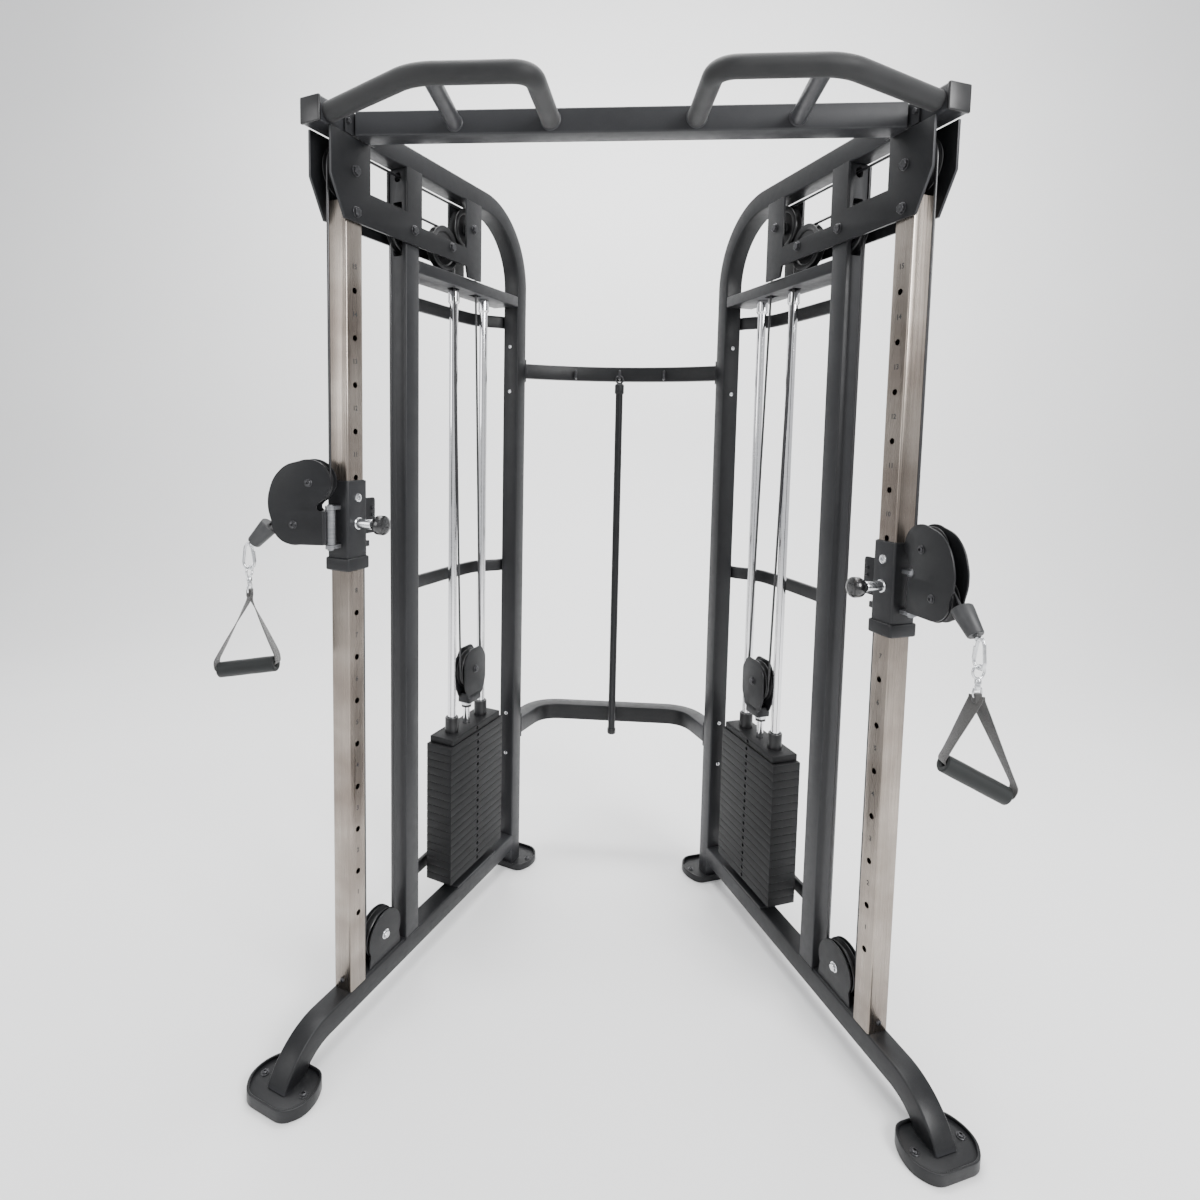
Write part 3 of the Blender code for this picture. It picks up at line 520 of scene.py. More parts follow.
def bolt_head(at, direction, radius=0.0085, hexed=True, washer=0.0115):
    """Hex or socket head on a washer, standing on a surface."""
    out = []
    if washer:
        out.append(lathe([(0, 0), (washer, 0), (washer, 0.0012), (washer - 0.0006, 0.0017),
                          (0, 0.0017)], aim(direction, at), 32))
    if hexed:
        head = [(0, 0), (radius * 0.86, 0, 1), (radius * 0.86, 0.0055, 1), (radius * 0.80, 0.0068),
                (0, 0.0070)]
    else:
        head = [(0, 0), (radius, 0), (radius, 0.0012), (radius * 0.92, 0.0034),
                (radius * 0.62, 0.0048), (radius * 0.42, 0.0050, 1), (radius * 0.40, 0.0022, 1),
                (0, 0.0020)]
    out.append(lathe(head, aim(direction, at), 36))
    return out


# ---- putting pieces in the scene ----
def add(name, meshes, look, body, nodes=(), matrix=Matrix.Identity(4)):
    """One shown piece: meshes, material, the body it rides on (a tuple gives none, and the piece stays in
    place) and CAD nodes replaced.
    """
    mesh = together(meshes if isinstance(meshes, (list, tuple)) else [meshes])
    mesh.transform(matrix)
    mesh.name = name
    mesh.materials.append(look.material)
    mesh.shade_smooth()
    mesh.set_sharp_from_angle(angle=SMOOTH_BELOW)
    obj = bpy.data.objects.new(name, mesh)
    bpy.context.scene.collection.objects.link(obj)
    if isinstance(body, str):
        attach(obj, body)
    else:
        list(body)
        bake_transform(obj)
    if nodes:
        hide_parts(*nodes)


ROOT = Matrix.Translation((CENTRE_X, CENTRE_Y, 0))
SQUARE_TUBE = rounded_rect(TUBE, TUBE, 0.004, 3)


def side_matrix(sign):
    """Splayed frame of one tower, before the shift to the model's centre."""
    return Matrix.Translation((sign * POST_X, POST_Y, 0)) @ Matrix.Rotation(sign * SPLAY, 4, 'Z')


class Tower:
    """Pieces of one side; o outward, u rearward, z up."""

    def __init__(self, side):
        self.side, self.s, self.name, self.pin = side, side["sign"], side["name"], side["pin"]
        self.matrix = ROOT @ side_matrix(self.s)
        self.arm_matrix = (self.matrix @ Matrix.Translation(self.p(MID, SWIVEL_U, self.pin))
                           @ Matrix.Rotation(math.pi + self.s * math.radians(side["arm"]), 4, 'Z'))
        self.out, self.inn = (self.s, 0, 0), (-self.s, 0, 0)

    def p(self, o, u, z):
        return (self.s * o, u, z)

    def block(self, o0, o1, u0, u1, z0, z1, edge=0.002):
        return block(self.p(o0, u0, z0), self.p(o1, u1, z1), edge)

    def profile(self, points, o0, o1, holes=(), edge=0.0006):
        return flat(points, abs(o1 - o0), self.s * (o0 + o1) / 2, "uz", holes, edge)

    def plan(self, points, z0, z1, holes=(), edge=0.0006):
        loops = [[(self.s * o, u) for o, u in loop] for loop in (points, *holes)]
        return flat(loops[0], z1 - z0, (z0 + z1) / 2, "ou", loops[1:], edge)

    def tube_uz(self, path):
        """Square tube along a path of (u, z) points."""
        return sweep([self.p(MID, u, z) for u, z in path], SQUARE_TUBE, (1, 0, 0))

    def across(self, u, z, o0, o1, radius, segments=24):
        return lathe([(0, 0), (radius, 0), (radius, abs(o1 - o0)), (0, abs(o1 - o0))],
                     aim(self.out, self.p(o0, u, z)), segments)

    def upright(self, o, u, z0, z1, radius, segments=32):
        return lathe([(0, z0), (radius, z0), (radius, z1), (0, z1)],
                     Matrix.Translation(self.p(o, u, 0)), segments)

    def add(self, name, meshes, look, body="frame", nodes=(), matrix=None):
        body = body if body == "frame" or not isinstance(body, str) else f"{self.name}_{body}"
        nodes = [f"{self.name}_{node}" for node in nodes]
        add(f"{self.name}_{name}", meshes, look, body, nodes, matrix or self.matrix)

    # ---- frame ----
    def foot(self, name, straight, back, height, floor):
        """Foot pad with a raised rim and two anchor screws."""
        ahead = 1 if back > straight else -1

        def outline(inset):
            side, start, end = 0.078 - inset, straight + ahead * inset, back - ahead * inset
            corners = [(MID, start), (MID + side * 0.66, start), (MID + side, start + ahead * 0.034),
                       (MID + side, (start + end) / 2 + ahead * 0.016),
                       (MID + side * 0.74, end), (MID, end)]
            half = rounded(corners, 0.022, 6)
            return half + [(TUBE - o, u) for o, u in half[-2:0:-1]]
        ring = self.plan(outline(0), 0, height, [outline(0.0045)], edge=0.0014)
        sole = self.plan(outline(0.003), 0.0008, floor, edge=0.0006)
        screws = []
        for o in (-0.031, 0.081):
            screws += bolt_head(self.p(o, (straight + back) / 2, floor), (0, 0, 1), 0.006, False, 0.009)
        self.add(f"{name}_foot", [ring, sole], COAT)
        self.add(f"{name}_foot_screws", screws, BOLT)

    def base(self):
        bend = (-0.090, RAIL_Z - 0.115)
        path = [(REAR_U - MID + 0.006, RAIL_Z), (0.5, RAIL_Z), (0.2, RAIL_Z)]
        path += arc(bend, 0.115, 90, 90 + 66, 18)
        rail = self.tube_uz(path)
        seat = self.block(0.0005, 0.0845, 0.395, 0.594, 0.1035, 0.1090, 0.001)
        u, z = FRAME_PULLEYS["low"]
        disc = [(u + PULLEY_R, RAIL_Z + 0.0262), (u - PULLEY_R, RAIL_Z + 0.0262)]
        disc += arc((u, z), PULLEY_R, 205, -25, 48)
        cheeks = [self.profile(disc, o, o + 0.003, edge=0.0005) for o in (0.0065, 0.0405)]
        strip = self.block(0.0035, 0.0465, u - 0.075, u + 0.075, RAIL_Z + 0.0248, RAIL_Z + 0.0275, 0.001)
        self.add("base_rail", [rail, seat, strip, *cheeks], COAT, nodes=["base_rail"])
        self.foot("front", -0.250, -0.140, 0.026, 0.020)
        axle = bolt_head(self.p(0.0065, u, z), self.inn, 0.009)
        axle += bolt_head(self.p(0.0435, u, z), self.out, 0.009)
        axle.append(self.across(u, z, 0.0075, 0.0425, AXLE_R))
        self.add("low_pulley_bolt", axle, ZINC)
        ribbed = [(0, 0), (0.019, 0), (0.020, 0.002), (0.0205, 0.009), (0.0185, 0.0125), (0.0205, 0.016),
                  (0.020, 0.0205), (0.0185, 0.0212), (0, 0.0212)]
        bumpers = [lathe(ribbed, Matrix.Translation(self.p(ROD_O, rod_u, 0.109))) for rod_u in ROD_U]
        self.add("bumpers", bumpers, GRIP)

    def arch(self):
        bend = (0.51725, ARCH_Z - 0.200)
        path = [(REAR_U, 0.012), (REAR_U, 0.6), (REAR_U, 1.2)] + arc(bend, 0.200, 0, 90, 28)
        path += [(0.2, ARCH_Z), (-0.092, ARCH_Z)]
        self.add("arch_frame", self.tube_uz(path), COAT, nodes=["arch_frame"])
        self.foot("rear", 0.795, 0.680, 0.020, 0.012)
        cap = self.block(-0.001, 0.051, -0.098, -0.0905, ARCH_Z - 0.026, ARCH_Z + 0.026, 0.003)
        self.add("end_cap", cap, NYLON)
        heads = []
        for z in (1.650, 1.515, 0.505, 0.375):
            heads += bolt_head(self.p(MID, REAR_U - MID, z), (0, -1, 0), 0.006, False, 0)
        self.add("upright_screws", heads, ZINC)

    def guards(self):
        path = rounded([(0.034, 0.214), (0.118, 0.330), (0.122, 0.500), (0.114, 0.640),
                        (0.0572, 0.700), (0.0572, 0.740)], 0.040, 8)
        bars, heads = [], []
        for z in GUARD_Z:
            loop = [self.p(o, u, z) for o, u in path]
            bars.append(sweep(loop, rounded_rect(0.013, 0.036, 0.0045, 3), (0, 0, 1)))
            heads += bolt_head(self.p(0.0637, 0.722, z), self.out, 0.0065, False, 0)
        self.add("guards", bars, COAT)
        self.add("guard_screws", heads, BOLT)

    def mid_upright(self):
        u, z = FRAME_PULLEYS["mid"]
        tube = self.block(0, TUBE, 0.170, 0.220, ON_RAIL, UNDER_ARCH, 0.003)
        window = self.block(0.012, 0.038, 0.15, 0.24, z - 0.062, z + 0.062, 0.004)
        slot = self.block(0.016, 0.034, 0.15, 0.24, 1.966, 1.989, 0.008)
        self.add("mid_upright", carved(tube, window, slot), COAT, nodes=["mid_upright"])
        weld = self.block(-0.001, TUBE + 0.001, 0.169, 0.221, 0.1035, 0.1065, 0.001)
        self.add("mid_upright_weld", weld, COAT)

    def post(self):
        wall = 0.003
        square = [(MID + x, y) for x, y in rounded_rect(TUBE, TUBE, 0.0045, 5)]
        bore = [(MID + x, y) for x, y in rounded_rect(TUBE - 2 * wall, TUBE - 2 * wall, 0.002, 3)]
        tube = self.plan(square, ON_RAIL, POST_TOP, [bore], edge=0.0003)
        holes = [self.across(0, HOLE_FIRST + HOLE_PITCH * i, -0.01, 0.01, 0.0065, 28)
                 for i in range(HOLE_COUNT)]
        self.add("guide_post", carved(tube, *holes), NICKEL, nodes=["guide_post"])
        screw = bolt_head(self.p(MID, -MID, 0.128), (0, -1, 0), 0.0060, False, 0)
        self.add("post_screw", screw, BOLT)
        self.numbers()

    def numbers(self):
        """Hole numbers on the post's inner face, midway above each hole."""
        digits = []
        for i in range(HOLE_COUNT):
            text = bpy.data.curves.new("number", 'FONT')
            text.body, text.size, text.align_x, text.align_y = str(i + 1), 0.0145, 'CENTER', 'CENTER'
            text.extrude, text.offset, text.resolution_u = 0.0001, 0.0004, 3
            mesh = read_out(bpy.data.objects.new("number", text))
            facing = Matrix.Rotation(math.radians(90), 4, 'X')
            side_on = Matrix.Rotation(self.s * math.radians(-90), 4, 'Z')
            place = Matrix.Translation(self.p(-0.00005, 0, HOLE_FIRST + HOLE_PITCH * (i + 0.5)))
            mesh.transform(place @ side_on @ facing)
            digits.append(mesh)
        self.add("post_numbers", digits, INK)

    def header(self):
        bar = self.block(0, 0.085, 0.2203, 0.6917, HEADER_LOW, HEADER_HIGH, 0.003)
        slots = [self.block(0.018, 0.042, u0, u1, 1.7, 1.9, 0.004)
                 for u0, u1 in ((0.386, 0.418), (0.487, 0.523))]
        self.add("rod_header", carved(bar, *slots), COAT, nodes=["rod_header"])

    def gussets(self):
        top, header = UNDER_ARCH, HEADER_HIGH + GAP
        outline = [(-0.071, top), (-0.071, 1.904), (-0.033, 1.825), (0.410, 1.825), (0.418, header),
                   (0.480, header), (0.480, top), (0.410, top), (0.410, 1.872), (0.222, 1.872),
                   (0.222, top), (0.168, top), (0.168, 1.895), (0.044, 1.895), (0.044, top)]
        inner = self.profile(outline, -GUSSET_FACE, -GAP)
        outer = self.profile(outline, TUBE + GAP, TUBE + GUSSET_FACE)
        self.add("inner_gusset", inner, COAT, nodes=["inner_gusset"])
        self.add("outer_gusset", outer, COAT, nodes=["outer_gusset"])
        places = [spot for name, spot in FRAME_PULLEYS.items() if name != "low"] + [(0.001, 1.846)]
        heads, shafts = [], []
        for u, z in places:
            heads += bolt_head(self.p(-GUSSET_FACE, u, z), self.inn, 0.010)
            heads += bolt_head(self.p(TUBE + GUSSET_FACE, u, z), self.out, 0.010)
        for u, z in places[:-1]:
            shafts.append(self.across(u, z, 0.0, TUBE, AXLE_R))
            shafts += [lathe([(0.0056, 0), (0.0095, 0), (0.0095, 0.013), (0.0056, 0.013)],
                             aim(self.out, self.p(o, u, z)), 28, True) for o in (0.0005, 0.0365)]
        self.add("gusset_bolts", heads, BOLT)
        self.add("pulley_axles", shafts, ZINC)

    def rods(self):
        for name, u in zip(("front", "rear"), ROD_U):
            top = HEADER_LOW - GAP
            rod = lathe([(0, STACK_LOW), (ROD_R, STACK_LOW), (ROD_R, top - 0.036), (0.0135, top - 0.033),
                         (0.0155, top - 0.030), (0.0155, top - 0.001), (0.0145, top), (0, top)],
                        Matrix.Translation(self.p(ROD_O, u, 0)))
            self.add(f"{name}_guide_rod", rod, CHROME, nodes=[f"{name}_guide_rod"])

    # ---- stack ----
    def pin_hole(self, z):
        """Cutter for the selector pin's hole in a plate's inner face."""
        return self.across(STACK_U, z, ROD_O - PLATE_HALF_O - 0.01, ROD_O - 0.005, 0.0052, 20)

    def stack(self):
        half_o, half_u = PLATE_HALF_O, PLATE_HALF_U
        pitch = (STACK_TOP - STACK_LOW) / PLATE_COUNT
        bores = [self.upright(ROD_O, u, 0.0, 0.9, 0.0123) for u in ROD_U]
        stem = [self.upright(ROD_O, STACK_U, 0.0, 0.9, 0.010)]
        plate = self.block(ROD_O - half_o, ROD_O + half_o, STACK_U - half_u, STACK_U + half_u,
                           STACK_LOW, STACK_LOW + pitch - 0.0004, 0.0011)
        plate = carved(plate, *bores, *stem, self.pin_hole(STACK_LOW + pitch / 2))
        plates = [moved(plate, Matrix.Translation((0, 0, pitch * i))) for i in range(PLATE_COUNT)]
        self.add("weight_plates", plates, PLATE, nodes=["weight_plates"])
        low = STACK_TOP + GAP
        inset_u, inset_o = half_u - 0.010, half_o - 0.003
        head = self.block(ROD_O - inset_o, ROD_O + inset_o, STACK_U - inset_u, STACK_U + inset_u,
                          low, HEAD_TOP, 0.0025)
        head = carved(head, *bores, *stem, self.pin_hole((low + HEAD_TOP) / 2))
        self.add("head_plate", head, PLATE, "stack_head", nodes=["head_plate"])
        sleeve = [(0.0123, HEAD_TOP - 0.01), (0.0187, HEAD_TOP - 0.01), (0.0187, 0.5835),
                  (0.0175, 0.586), (0.0135, 0.586), (0.0123, 0.5845)]
        sleeves = [lathe(sleeve, Matrix.Translation(self.p(ROD_O, u, 0)), closed=True) for u in ROD_U]
        self.add("guide_sleeves", sleeves, NYLON, "stack_head")
        self.pulley_block()

    def pulley_block(self):
        corner = rounded([(STACK_U, 0.628), (STACK_U + 0.034, 0.628), (STACK_U + 0.052, 0.668),
                          (STACK_U + 0.052, 0.738), (STACK_U + 0.028, 0.770), (STACK_U, 0.770)], 0.010, 6)
        outline = corner + [(2 * STACK_U - u, z) for u, z in corner[-2:0:-1]]
        cheeks = [self.profile(outline, STACK_PULLEY_O + o, STACK_PULLEY_O + o + 0.004)
                  for o in (-0.018, 0.014)]
        yoke = self.block(STACK_PULLEY_O - 0.018, ROD_O + 0.010, STACK_U - 0.029, STACK_U + 0.029,
                          0.612, 0.640, 0.003)
        self.add("pulley_housing", [*cheeks, yoke], COAT, "stack_head", nodes=["pulley_block"])
        at = Matrix.Translation(self.p(ROD_O, STACK_U, 0))
        stem_r = 0.009
        stem = lathe([(0, STACK_LOW + 0.004), (stem_r, STACK_LOW + 0.006), (stem_r, 0.625), (0, 0.625)],
                     at, 32)
        self.add("selector_stem", stem, CHROME, "stack_head")
        for name, look, r, z0, z1, sides in (("nut", ZINC, 0.0145, 0.599, 0.6115, 6),
                                             ("ring", NYLON, 0.0135, 0.592, 0.5985, 32)):
            collar = lathe([(stem_r, z0), (r, z0, 1), (r, z1, 1), (stem_r, z1)], at, sides, True)
            self.add(f"stem_{name}", collar, look, "stack_head")
        bolt = bolt_head(self.p(STACK_PULLEY_O - 0.018, STACK_U, STACK_PULLEY_Z), self.inn, 0.0085)
        bolt += bolt_head(self.p(STACK_PULLEY_O + 0.018, STACK_U, STACK_PULLEY_Z), self.out, 0.0085)
        bolt.append(self.across(STACK_U, STACK_PULLEY_Z, STACK_PULLEY_O - 0.018, STACK_PULLEY_O + 0.018,
                                AXLE_R))
        self.add("stack_pulley_bolt", bolt, BOLT, "stack_head")

    # ---- pulleys ----
    def pulley(self, name, o, u, z, body, radius=PULLEY_R, matrix=None):
        """Grooved wheel with a dished web and a hub, and a bearing ring on each face."""
        deep, wide = radius - 0.0105, 0.0095
        half = [(0.0062, 0.0092), (0.0135, 0.0092), (0.0150, 0.0080), (0.0165, 0.0052),
                (deep - 0.006, 0.0052), (deep - 0.003, 0.0086), (deep - 0.0015, wide),
                (radius - 0.0012, wide), (radius, wide - 0.0012), (radius - 0.0006, wide - 0.0022),
                (deep + 0.002, 0.0048), (deep, 0.0028)]
        profile = half + [(r, -h) for r, h in reversed(half)]
        place = aim((1, 0, 0), (o, u, z)) if matrix else aim(self.out, self.p(o, u, z))
        wheel = lathe(profile, place, 64, True)
        self.add(f"{name}_wheel", wheel, NYLON, body, nodes=[name], matrix=matrix)
        rings = [lathe([(0.0062, h), (0.0110, h), (0.0110, h + 0.0006), (0.0062, h + 0.0006)],
                       place, 32, True) for h in (0.0092, -0.0098)]
        self.add(f"{name}_bearing", rings, ZINC, body, matrix=matrix)

    def pulleys(self):
        for name, (u, z) in FRAME_PULLEYS.items():
            self.pulley(f"{name}_pulley", MID, u, z, f"{name}_wheel")
        self.pulley("stack_pulley", STACK_PULLEY_O, STACK_U, STACK_PULLEY_Z, "stack_wheel")
        for name, (a, z) in SWIVEL_PULLEYS.items():
            self.pulley(f"swivel_pulley_{name}", 0, a, z, f"swivel_wheel_{name}", SWIVEL_PULLEY_R,
                        self.arm_matrix)

    # ---- carriage and pin ----
    def carriage(self):
        pin = self.pin

        def ring(size, inner, z0, z1, edge):
            outer = [(MID + x, y) for x, y in rounded_rect(size, size, 0.006, 5)]
            bore = [(MID + x, y) for x, y in rounded_rect(inner, inner, 0.003, 3)]
            return self.plan(outer, z0, z1, [bore], edge)
        sleeve = ring(0.060, 0.0512, pin - 0.100, pin + 0.093, 0.0010)
        collar = ring(0.0675, 0.0560, pin - 0.103, pin - 0.075, 0.0035)
        liners = [ring(0.0555, 0.0508, pin + 0.090, pin + 0.0945, 0.0004),
                  ring(0.0555, 0.0508, pin - 0.1045, pin - 0.100, 0.0004)]
        pin_bore = self.across(0, pin, -0.02, 0.003, 0.009)
        anchor = self.block(0.015, 0.035, 0.028, 0.060, pin - 0.060, pin - 0.046, 0.002)
        outline = rounded([(0.027, pin - 0.026), (0.056, pin - 0.026), (0.056, pin + 0.054),
                           (0.027, pin + 0.054)], 0.008, 6)
        tab = self.profile(outline, -0.0046, -0.0012, edge=0.0005)
        lugs = [self.block(0.0145, 0.0355, SWIVEL_U, -0.028, pin + z, pin + z + 0.009, 0.0015)
                for z in (0.0315, -0.0525)]
        knuckles = [self.upright(MID, SWIVEL_U, pin + z, pin + z + 0.009, 0.011)
                    for z in (0.0315, -0.0525)]
        self.add("carriage", [carved(sleeve, pin_bore), collar, anchor, tab], COAT, "carriage",
                 nodes=["carriage"])
        self.add("carriage_liners", liners, NYLON, "carriage")
        hinge = [*lugs, *knuckles, self.upright(MID, SWIVEL_U, pin - 0.056, pin + 0.043, 0.0065)]
        self.add("hinge_lugs", hinge, HINGE, "carriage")
        barrel = lathe([(0.0065, 0), (0.0135, 0), (0.0135, 0.004), (0.0112, 0.0055), (0.0112, 0.040),
                        (0.0102, 0.043), (0.0065, 0.043)], aim(self.inn, self.p(-0.005, 0, pin)), 40, True)
        screws = bolt_head(self.p(-0.005, 0, pin + 0.056), self.inn, 0.0098, False, 0)
        self.add("pin_barrel", [barrel, *screws], ZINC, "carriage")
        small = []
        for z in (0.015, 0.031):
            small += bolt_head(self.p(-0.0046, 0.046, pin + z), self.inn, 0.0032, False, 0)
        self.add("tab_screws", small, BOLT, "carriage")
        knob = lathe([(0, 0.0828), (0.0120, 0.0826), (0.0165, 0.0818), (0.0200, 0.0798),
                      (0.0214, 0.0770), (0.0215, 0.0700), (0.0212, 0.0640), (0.0190, 0.0600),
                      (0.0150, 0.0565), (0.0128, 0.0540), (0.0120, 0.0505), (0, 0.0505)],
                     aim(self.inn, self.p(0, 0, pin)), 56)
        self.add("pin_knob", knob, KNOB, "pop_pin", nodes=["pop_pin"])
        shank = lathe([(0, 0.0005), (0.0045, 0.0005), (0.0055, 0.0020), (0.0055, 0.0485), (0.0095, 0.0487),
                       (0.0095, 0.0530), (0, 0.0530)], aim(self.inn, self.p(0, 0, pin)), 32)
        self.add("pin_shank", shank, ZINC, "pop_pin")

    # ---- swivel arm: x across it, y along it, z from pin height ----
    def swivel(self):
        arm = self.arm_matrix
        outline = [(0.010, -0.043)] + arc((0.0756, 0.004), 0.047, -90, 0, 24)
        outline += rounded([(0.1226, 0.006), (0.1305, 0.030), (0.1310, 0.060), (0.1190, 0.100),
                            (0.0920, 0.128), (0.0600, 0.1363)], 0.020, 6)[1:-1]
        outline += arc((0.041, 0.090), 0.050, 68, 190, 32)
        outline += rounded([(0.008, 0.055), (0.020, 0.047), (0.026, 0.038), (0.021, 0.030),
                            (0.010, 0.030)], 0.005, 5)
        cheeks = [flat(outline, 0.004, b, "uz", edge=0.0006) for b in (-0.015, 0.015)]
        web = block((-0.0165, 0.004, -0.0428), (0.0165, 0.020, 0.0298), 0.002)
        self.add("swivel_bracket", [*cheeks, web], COAT, "swivel_arm", nodes=["swivel_bracket"],
                 matrix=arm)
        barrel = lathe([(0.0066, -0.0430), (0.0098, -0.0430), (0.0106, -0.0420), (0.0106, 0.0300),
                        (0.0098, 0.0310), (0.0066, 0.0310)], segments=40, closed=True)
        self.add("hinge_barrel", barrel, HINGE, "swivel_arm", matrix=arm)
        heads = []
        for a, z in SWIVEL_PULLEYS.values():
            heads += bolt_head((-0.017, a, z), (-1, 0, 0), 0.0068, False, 0.0088)
            heads += bolt_head((0.017, a, z), (1, 0, 0), 0.0068, False, 0.0088)
            heads.append(lathe([(0, -0.017), (AXLE_R, -0.017), (AXLE_R, 0.017), (0, 0.017)],
                               aim((1, 0, 0), (0, a, z)), 24))
        self.add("swivel_bolts", heads, BOLT, "swivel_arm", matrix=arm)

    def cable_end(self):
        arm = self.arm_matrix
        near, far = Vector((0, *STOP_NEAR)), Vector((0, *STOP_FAR))
        down = far - near
        long = down.length
        stop = lathe([(0, 0), (0.0185, 0), (0.0200, 0.0015), (0.0200, 0.008), (0.0152, long - 0.002),
                      (0.0138, long), (0.0060, long), (0.0050, long + 0.004), (0, long + 0.004)],
                     aim(down, near), 56)
        self.add("cable_stop", stop, RUBBER, "cable_end", nodes=["cable_stop"], matrix=arm)
        low, top = HITCH_Z, HITCH_Z + 0.058
        loop = rounded([(0, low), (0.006, low), (0.0130, low + 0.010), (0.0090, top - 0.010),
                        (0.001, top), (-0.006, top - 0.010), (-0.013, low + 0.010), (-0.006, low),
                        (0, low)], 0.006, 6)[:-1]
        wire = sweep([(0, HITCH_A + a, z) for a, z in loop], circle(0.003, 14), (1, 0, 0), closed=True)
        gate = lathe([(0, 0), (0.0038, 0.001), (0.0038, 0.024), (0, 0.025)],
                     aim((0, 0.10, 1), (0, HITCH_A - 0.0125, low + 0.014)), 20)
        eye_at = far + down.normalized() * 0.007
        eye = lathe([(0.0045 + 0.0022 * math.cos(a), 0.0022 * math.sin(a))
                     for a in [math.pi * i / 6 for i in range(12)]], aim((1, 0, 0), eye_at), 28, True)
        neck = lathe([(0, -0.006), (0.004, -0.006), (0.004, 0.004), (0, 0.004)],
                     aim(down, eye_at - down * 0.05), 20)
        self.add("carabiner", [wire, gate, eye, neck], ZINC, "cable_end", matrix=arm)

    def handle(self):
        arm = self.arm_matrix
        turn, tilt = math.radians(self.side["turn"]), math.radians(self.side["tilt"])
        level = math.cos(tilt)
        along = Vector((math.sin(turn) * level, math.cos(turn) * level, -math.sin(tilt)))
        middle, fork = Vector((0, GRIP_A, self.side["grip"])), Vector((0, HITCH_A, self.side["fork"]))
        side_on = Vector((0, 0, 1)).cross(along).normalized()
        inward = side_on.cross(along).normalized() * 0.021
        inward *= 1 if inward.z > 0 else -1
        legs = []
        for end in (1, -1):
            foot = middle + along * end * (GRIP_LENGTH / 2 + 0.0035)
            lead = along * end * 0.0022
            leg = [fork + lead + (foot + inward - fork - lead) * (i / 9) for i in range(10)]
            path = rounded([Vector((0, HITCH_A, STRAP_TOP_Z)) + lead * 0.6, *leg,
                            foot, middle + along * end * (GRIP_LENGTH / 2 - 0.020)], 0.008, 4)
            top = path[0][2]
            ups = []
            for point in path:
                down = min((top - point[2]) / (top - foot.z - inward.z), 1.0)
                ups.append(Matrix.Rotation(math.radians(55) * (1 - down) ** 1.5, 3, 'Z') @ side_on)
            legs.append(sweep(path, rounded_rect(0.0022, 0.024, 0.0010, 2), side_on, ups=ups, uv=True))
        self.add("handle_strap", legs, STRAP, "handle", nodes=["handle_strap"], matrix=arm)
        stitch = block(Vector((-0.0075, HITCH_A - 0.0050, STRAP_TOP_Z - 0.012)),
                       Vector((0.0075, HITCH_A + 0.0050, STRAP_TOP_Z + 0.005)), 0.002)
        self.add("strap_wrap", stitch, STRAP, "handle", matrix=arm)
        ring_z = HITCH_Z - 0.0063
        ring = sweep([(x, HITCH_A, ring_z + z) for z, x in circle(0.012, 36)], circle(0.0024, 12),
                     (0, 1, 0), closed=True)
        swivel = lathe([(0, -0.0205), (0.0040, -0.0195), (0.0052, -0.0160), (0.0044, -0.0115),
                        (0.0058, -0.0100), (0.0058, -0.0040), (0.0040, -0.0010), (0, 0)],
                       Matrix.Translation((0, HITCH_A, HITCH_Z - 0.0175)), 32)
        clip = [(0.008, -0.0375), (0.009, -0.046), (0.006, -0.0535), (-0.006, -0.0535), (-0.009, -0.046),
                (-0.008, -0.0375)]
        buckle = sweep([(x, HITCH_A, HITCH_Z + z) for x, z in rounded(clip, 0.004, 4)], circle(0.0020, 10),
                       (0, 1, 0), closed=True)
        self.add("handle_swivel", [ring, swivel, buckle], ZINC, "handle", matrix=arm)
        half = GRIP_LENGTH / 2 - 0.001
        foam = lathe([(0.0062, half - 0.004), (0.0110, half), (GRIP_R - 0.0022, half), (GRIP_R, half - 0.0022),
                      (GRIP_R + 0.0003, half * 0.5), (GRIP_R, 0), (GRIP_R + 0.0003, -half * 0.5),
                      (GRIP_R, 0.0022 - half), (GRIP_R - 0.0022, -half), (0.0110, -half),
                      (0.0062, 0.004 - half)], aim(along, middle), 56, True)
        self.add("handle_grip", foam, GRIP, "grip", nodes=["handle_grip"], matrix=arm)

    # ---- cable, in runs: each rides on one body, or stays in place where it joins two ----
    def run(self, name, points, body, matrix=None, rows=1):
        """One length of cable; long straight runs get extra rings along their length."""
        path = [Vector(points[0])]
        for point in points[1:]:
            path += [path[-1].lerp(Vector(point), (i + 1) / rows) for i in range(rows)]
        straight = abs((path[-1] - path[0]).normalized().z) > 0.9
        mesh = sweep(path, circle(CABLE_R, 12), (0, 1, 0) if straight and rows > 1 else (1, 0, 0))
        self.add(name, mesh, SHEATH, body, nodes=["cable"], matrix=matrix)

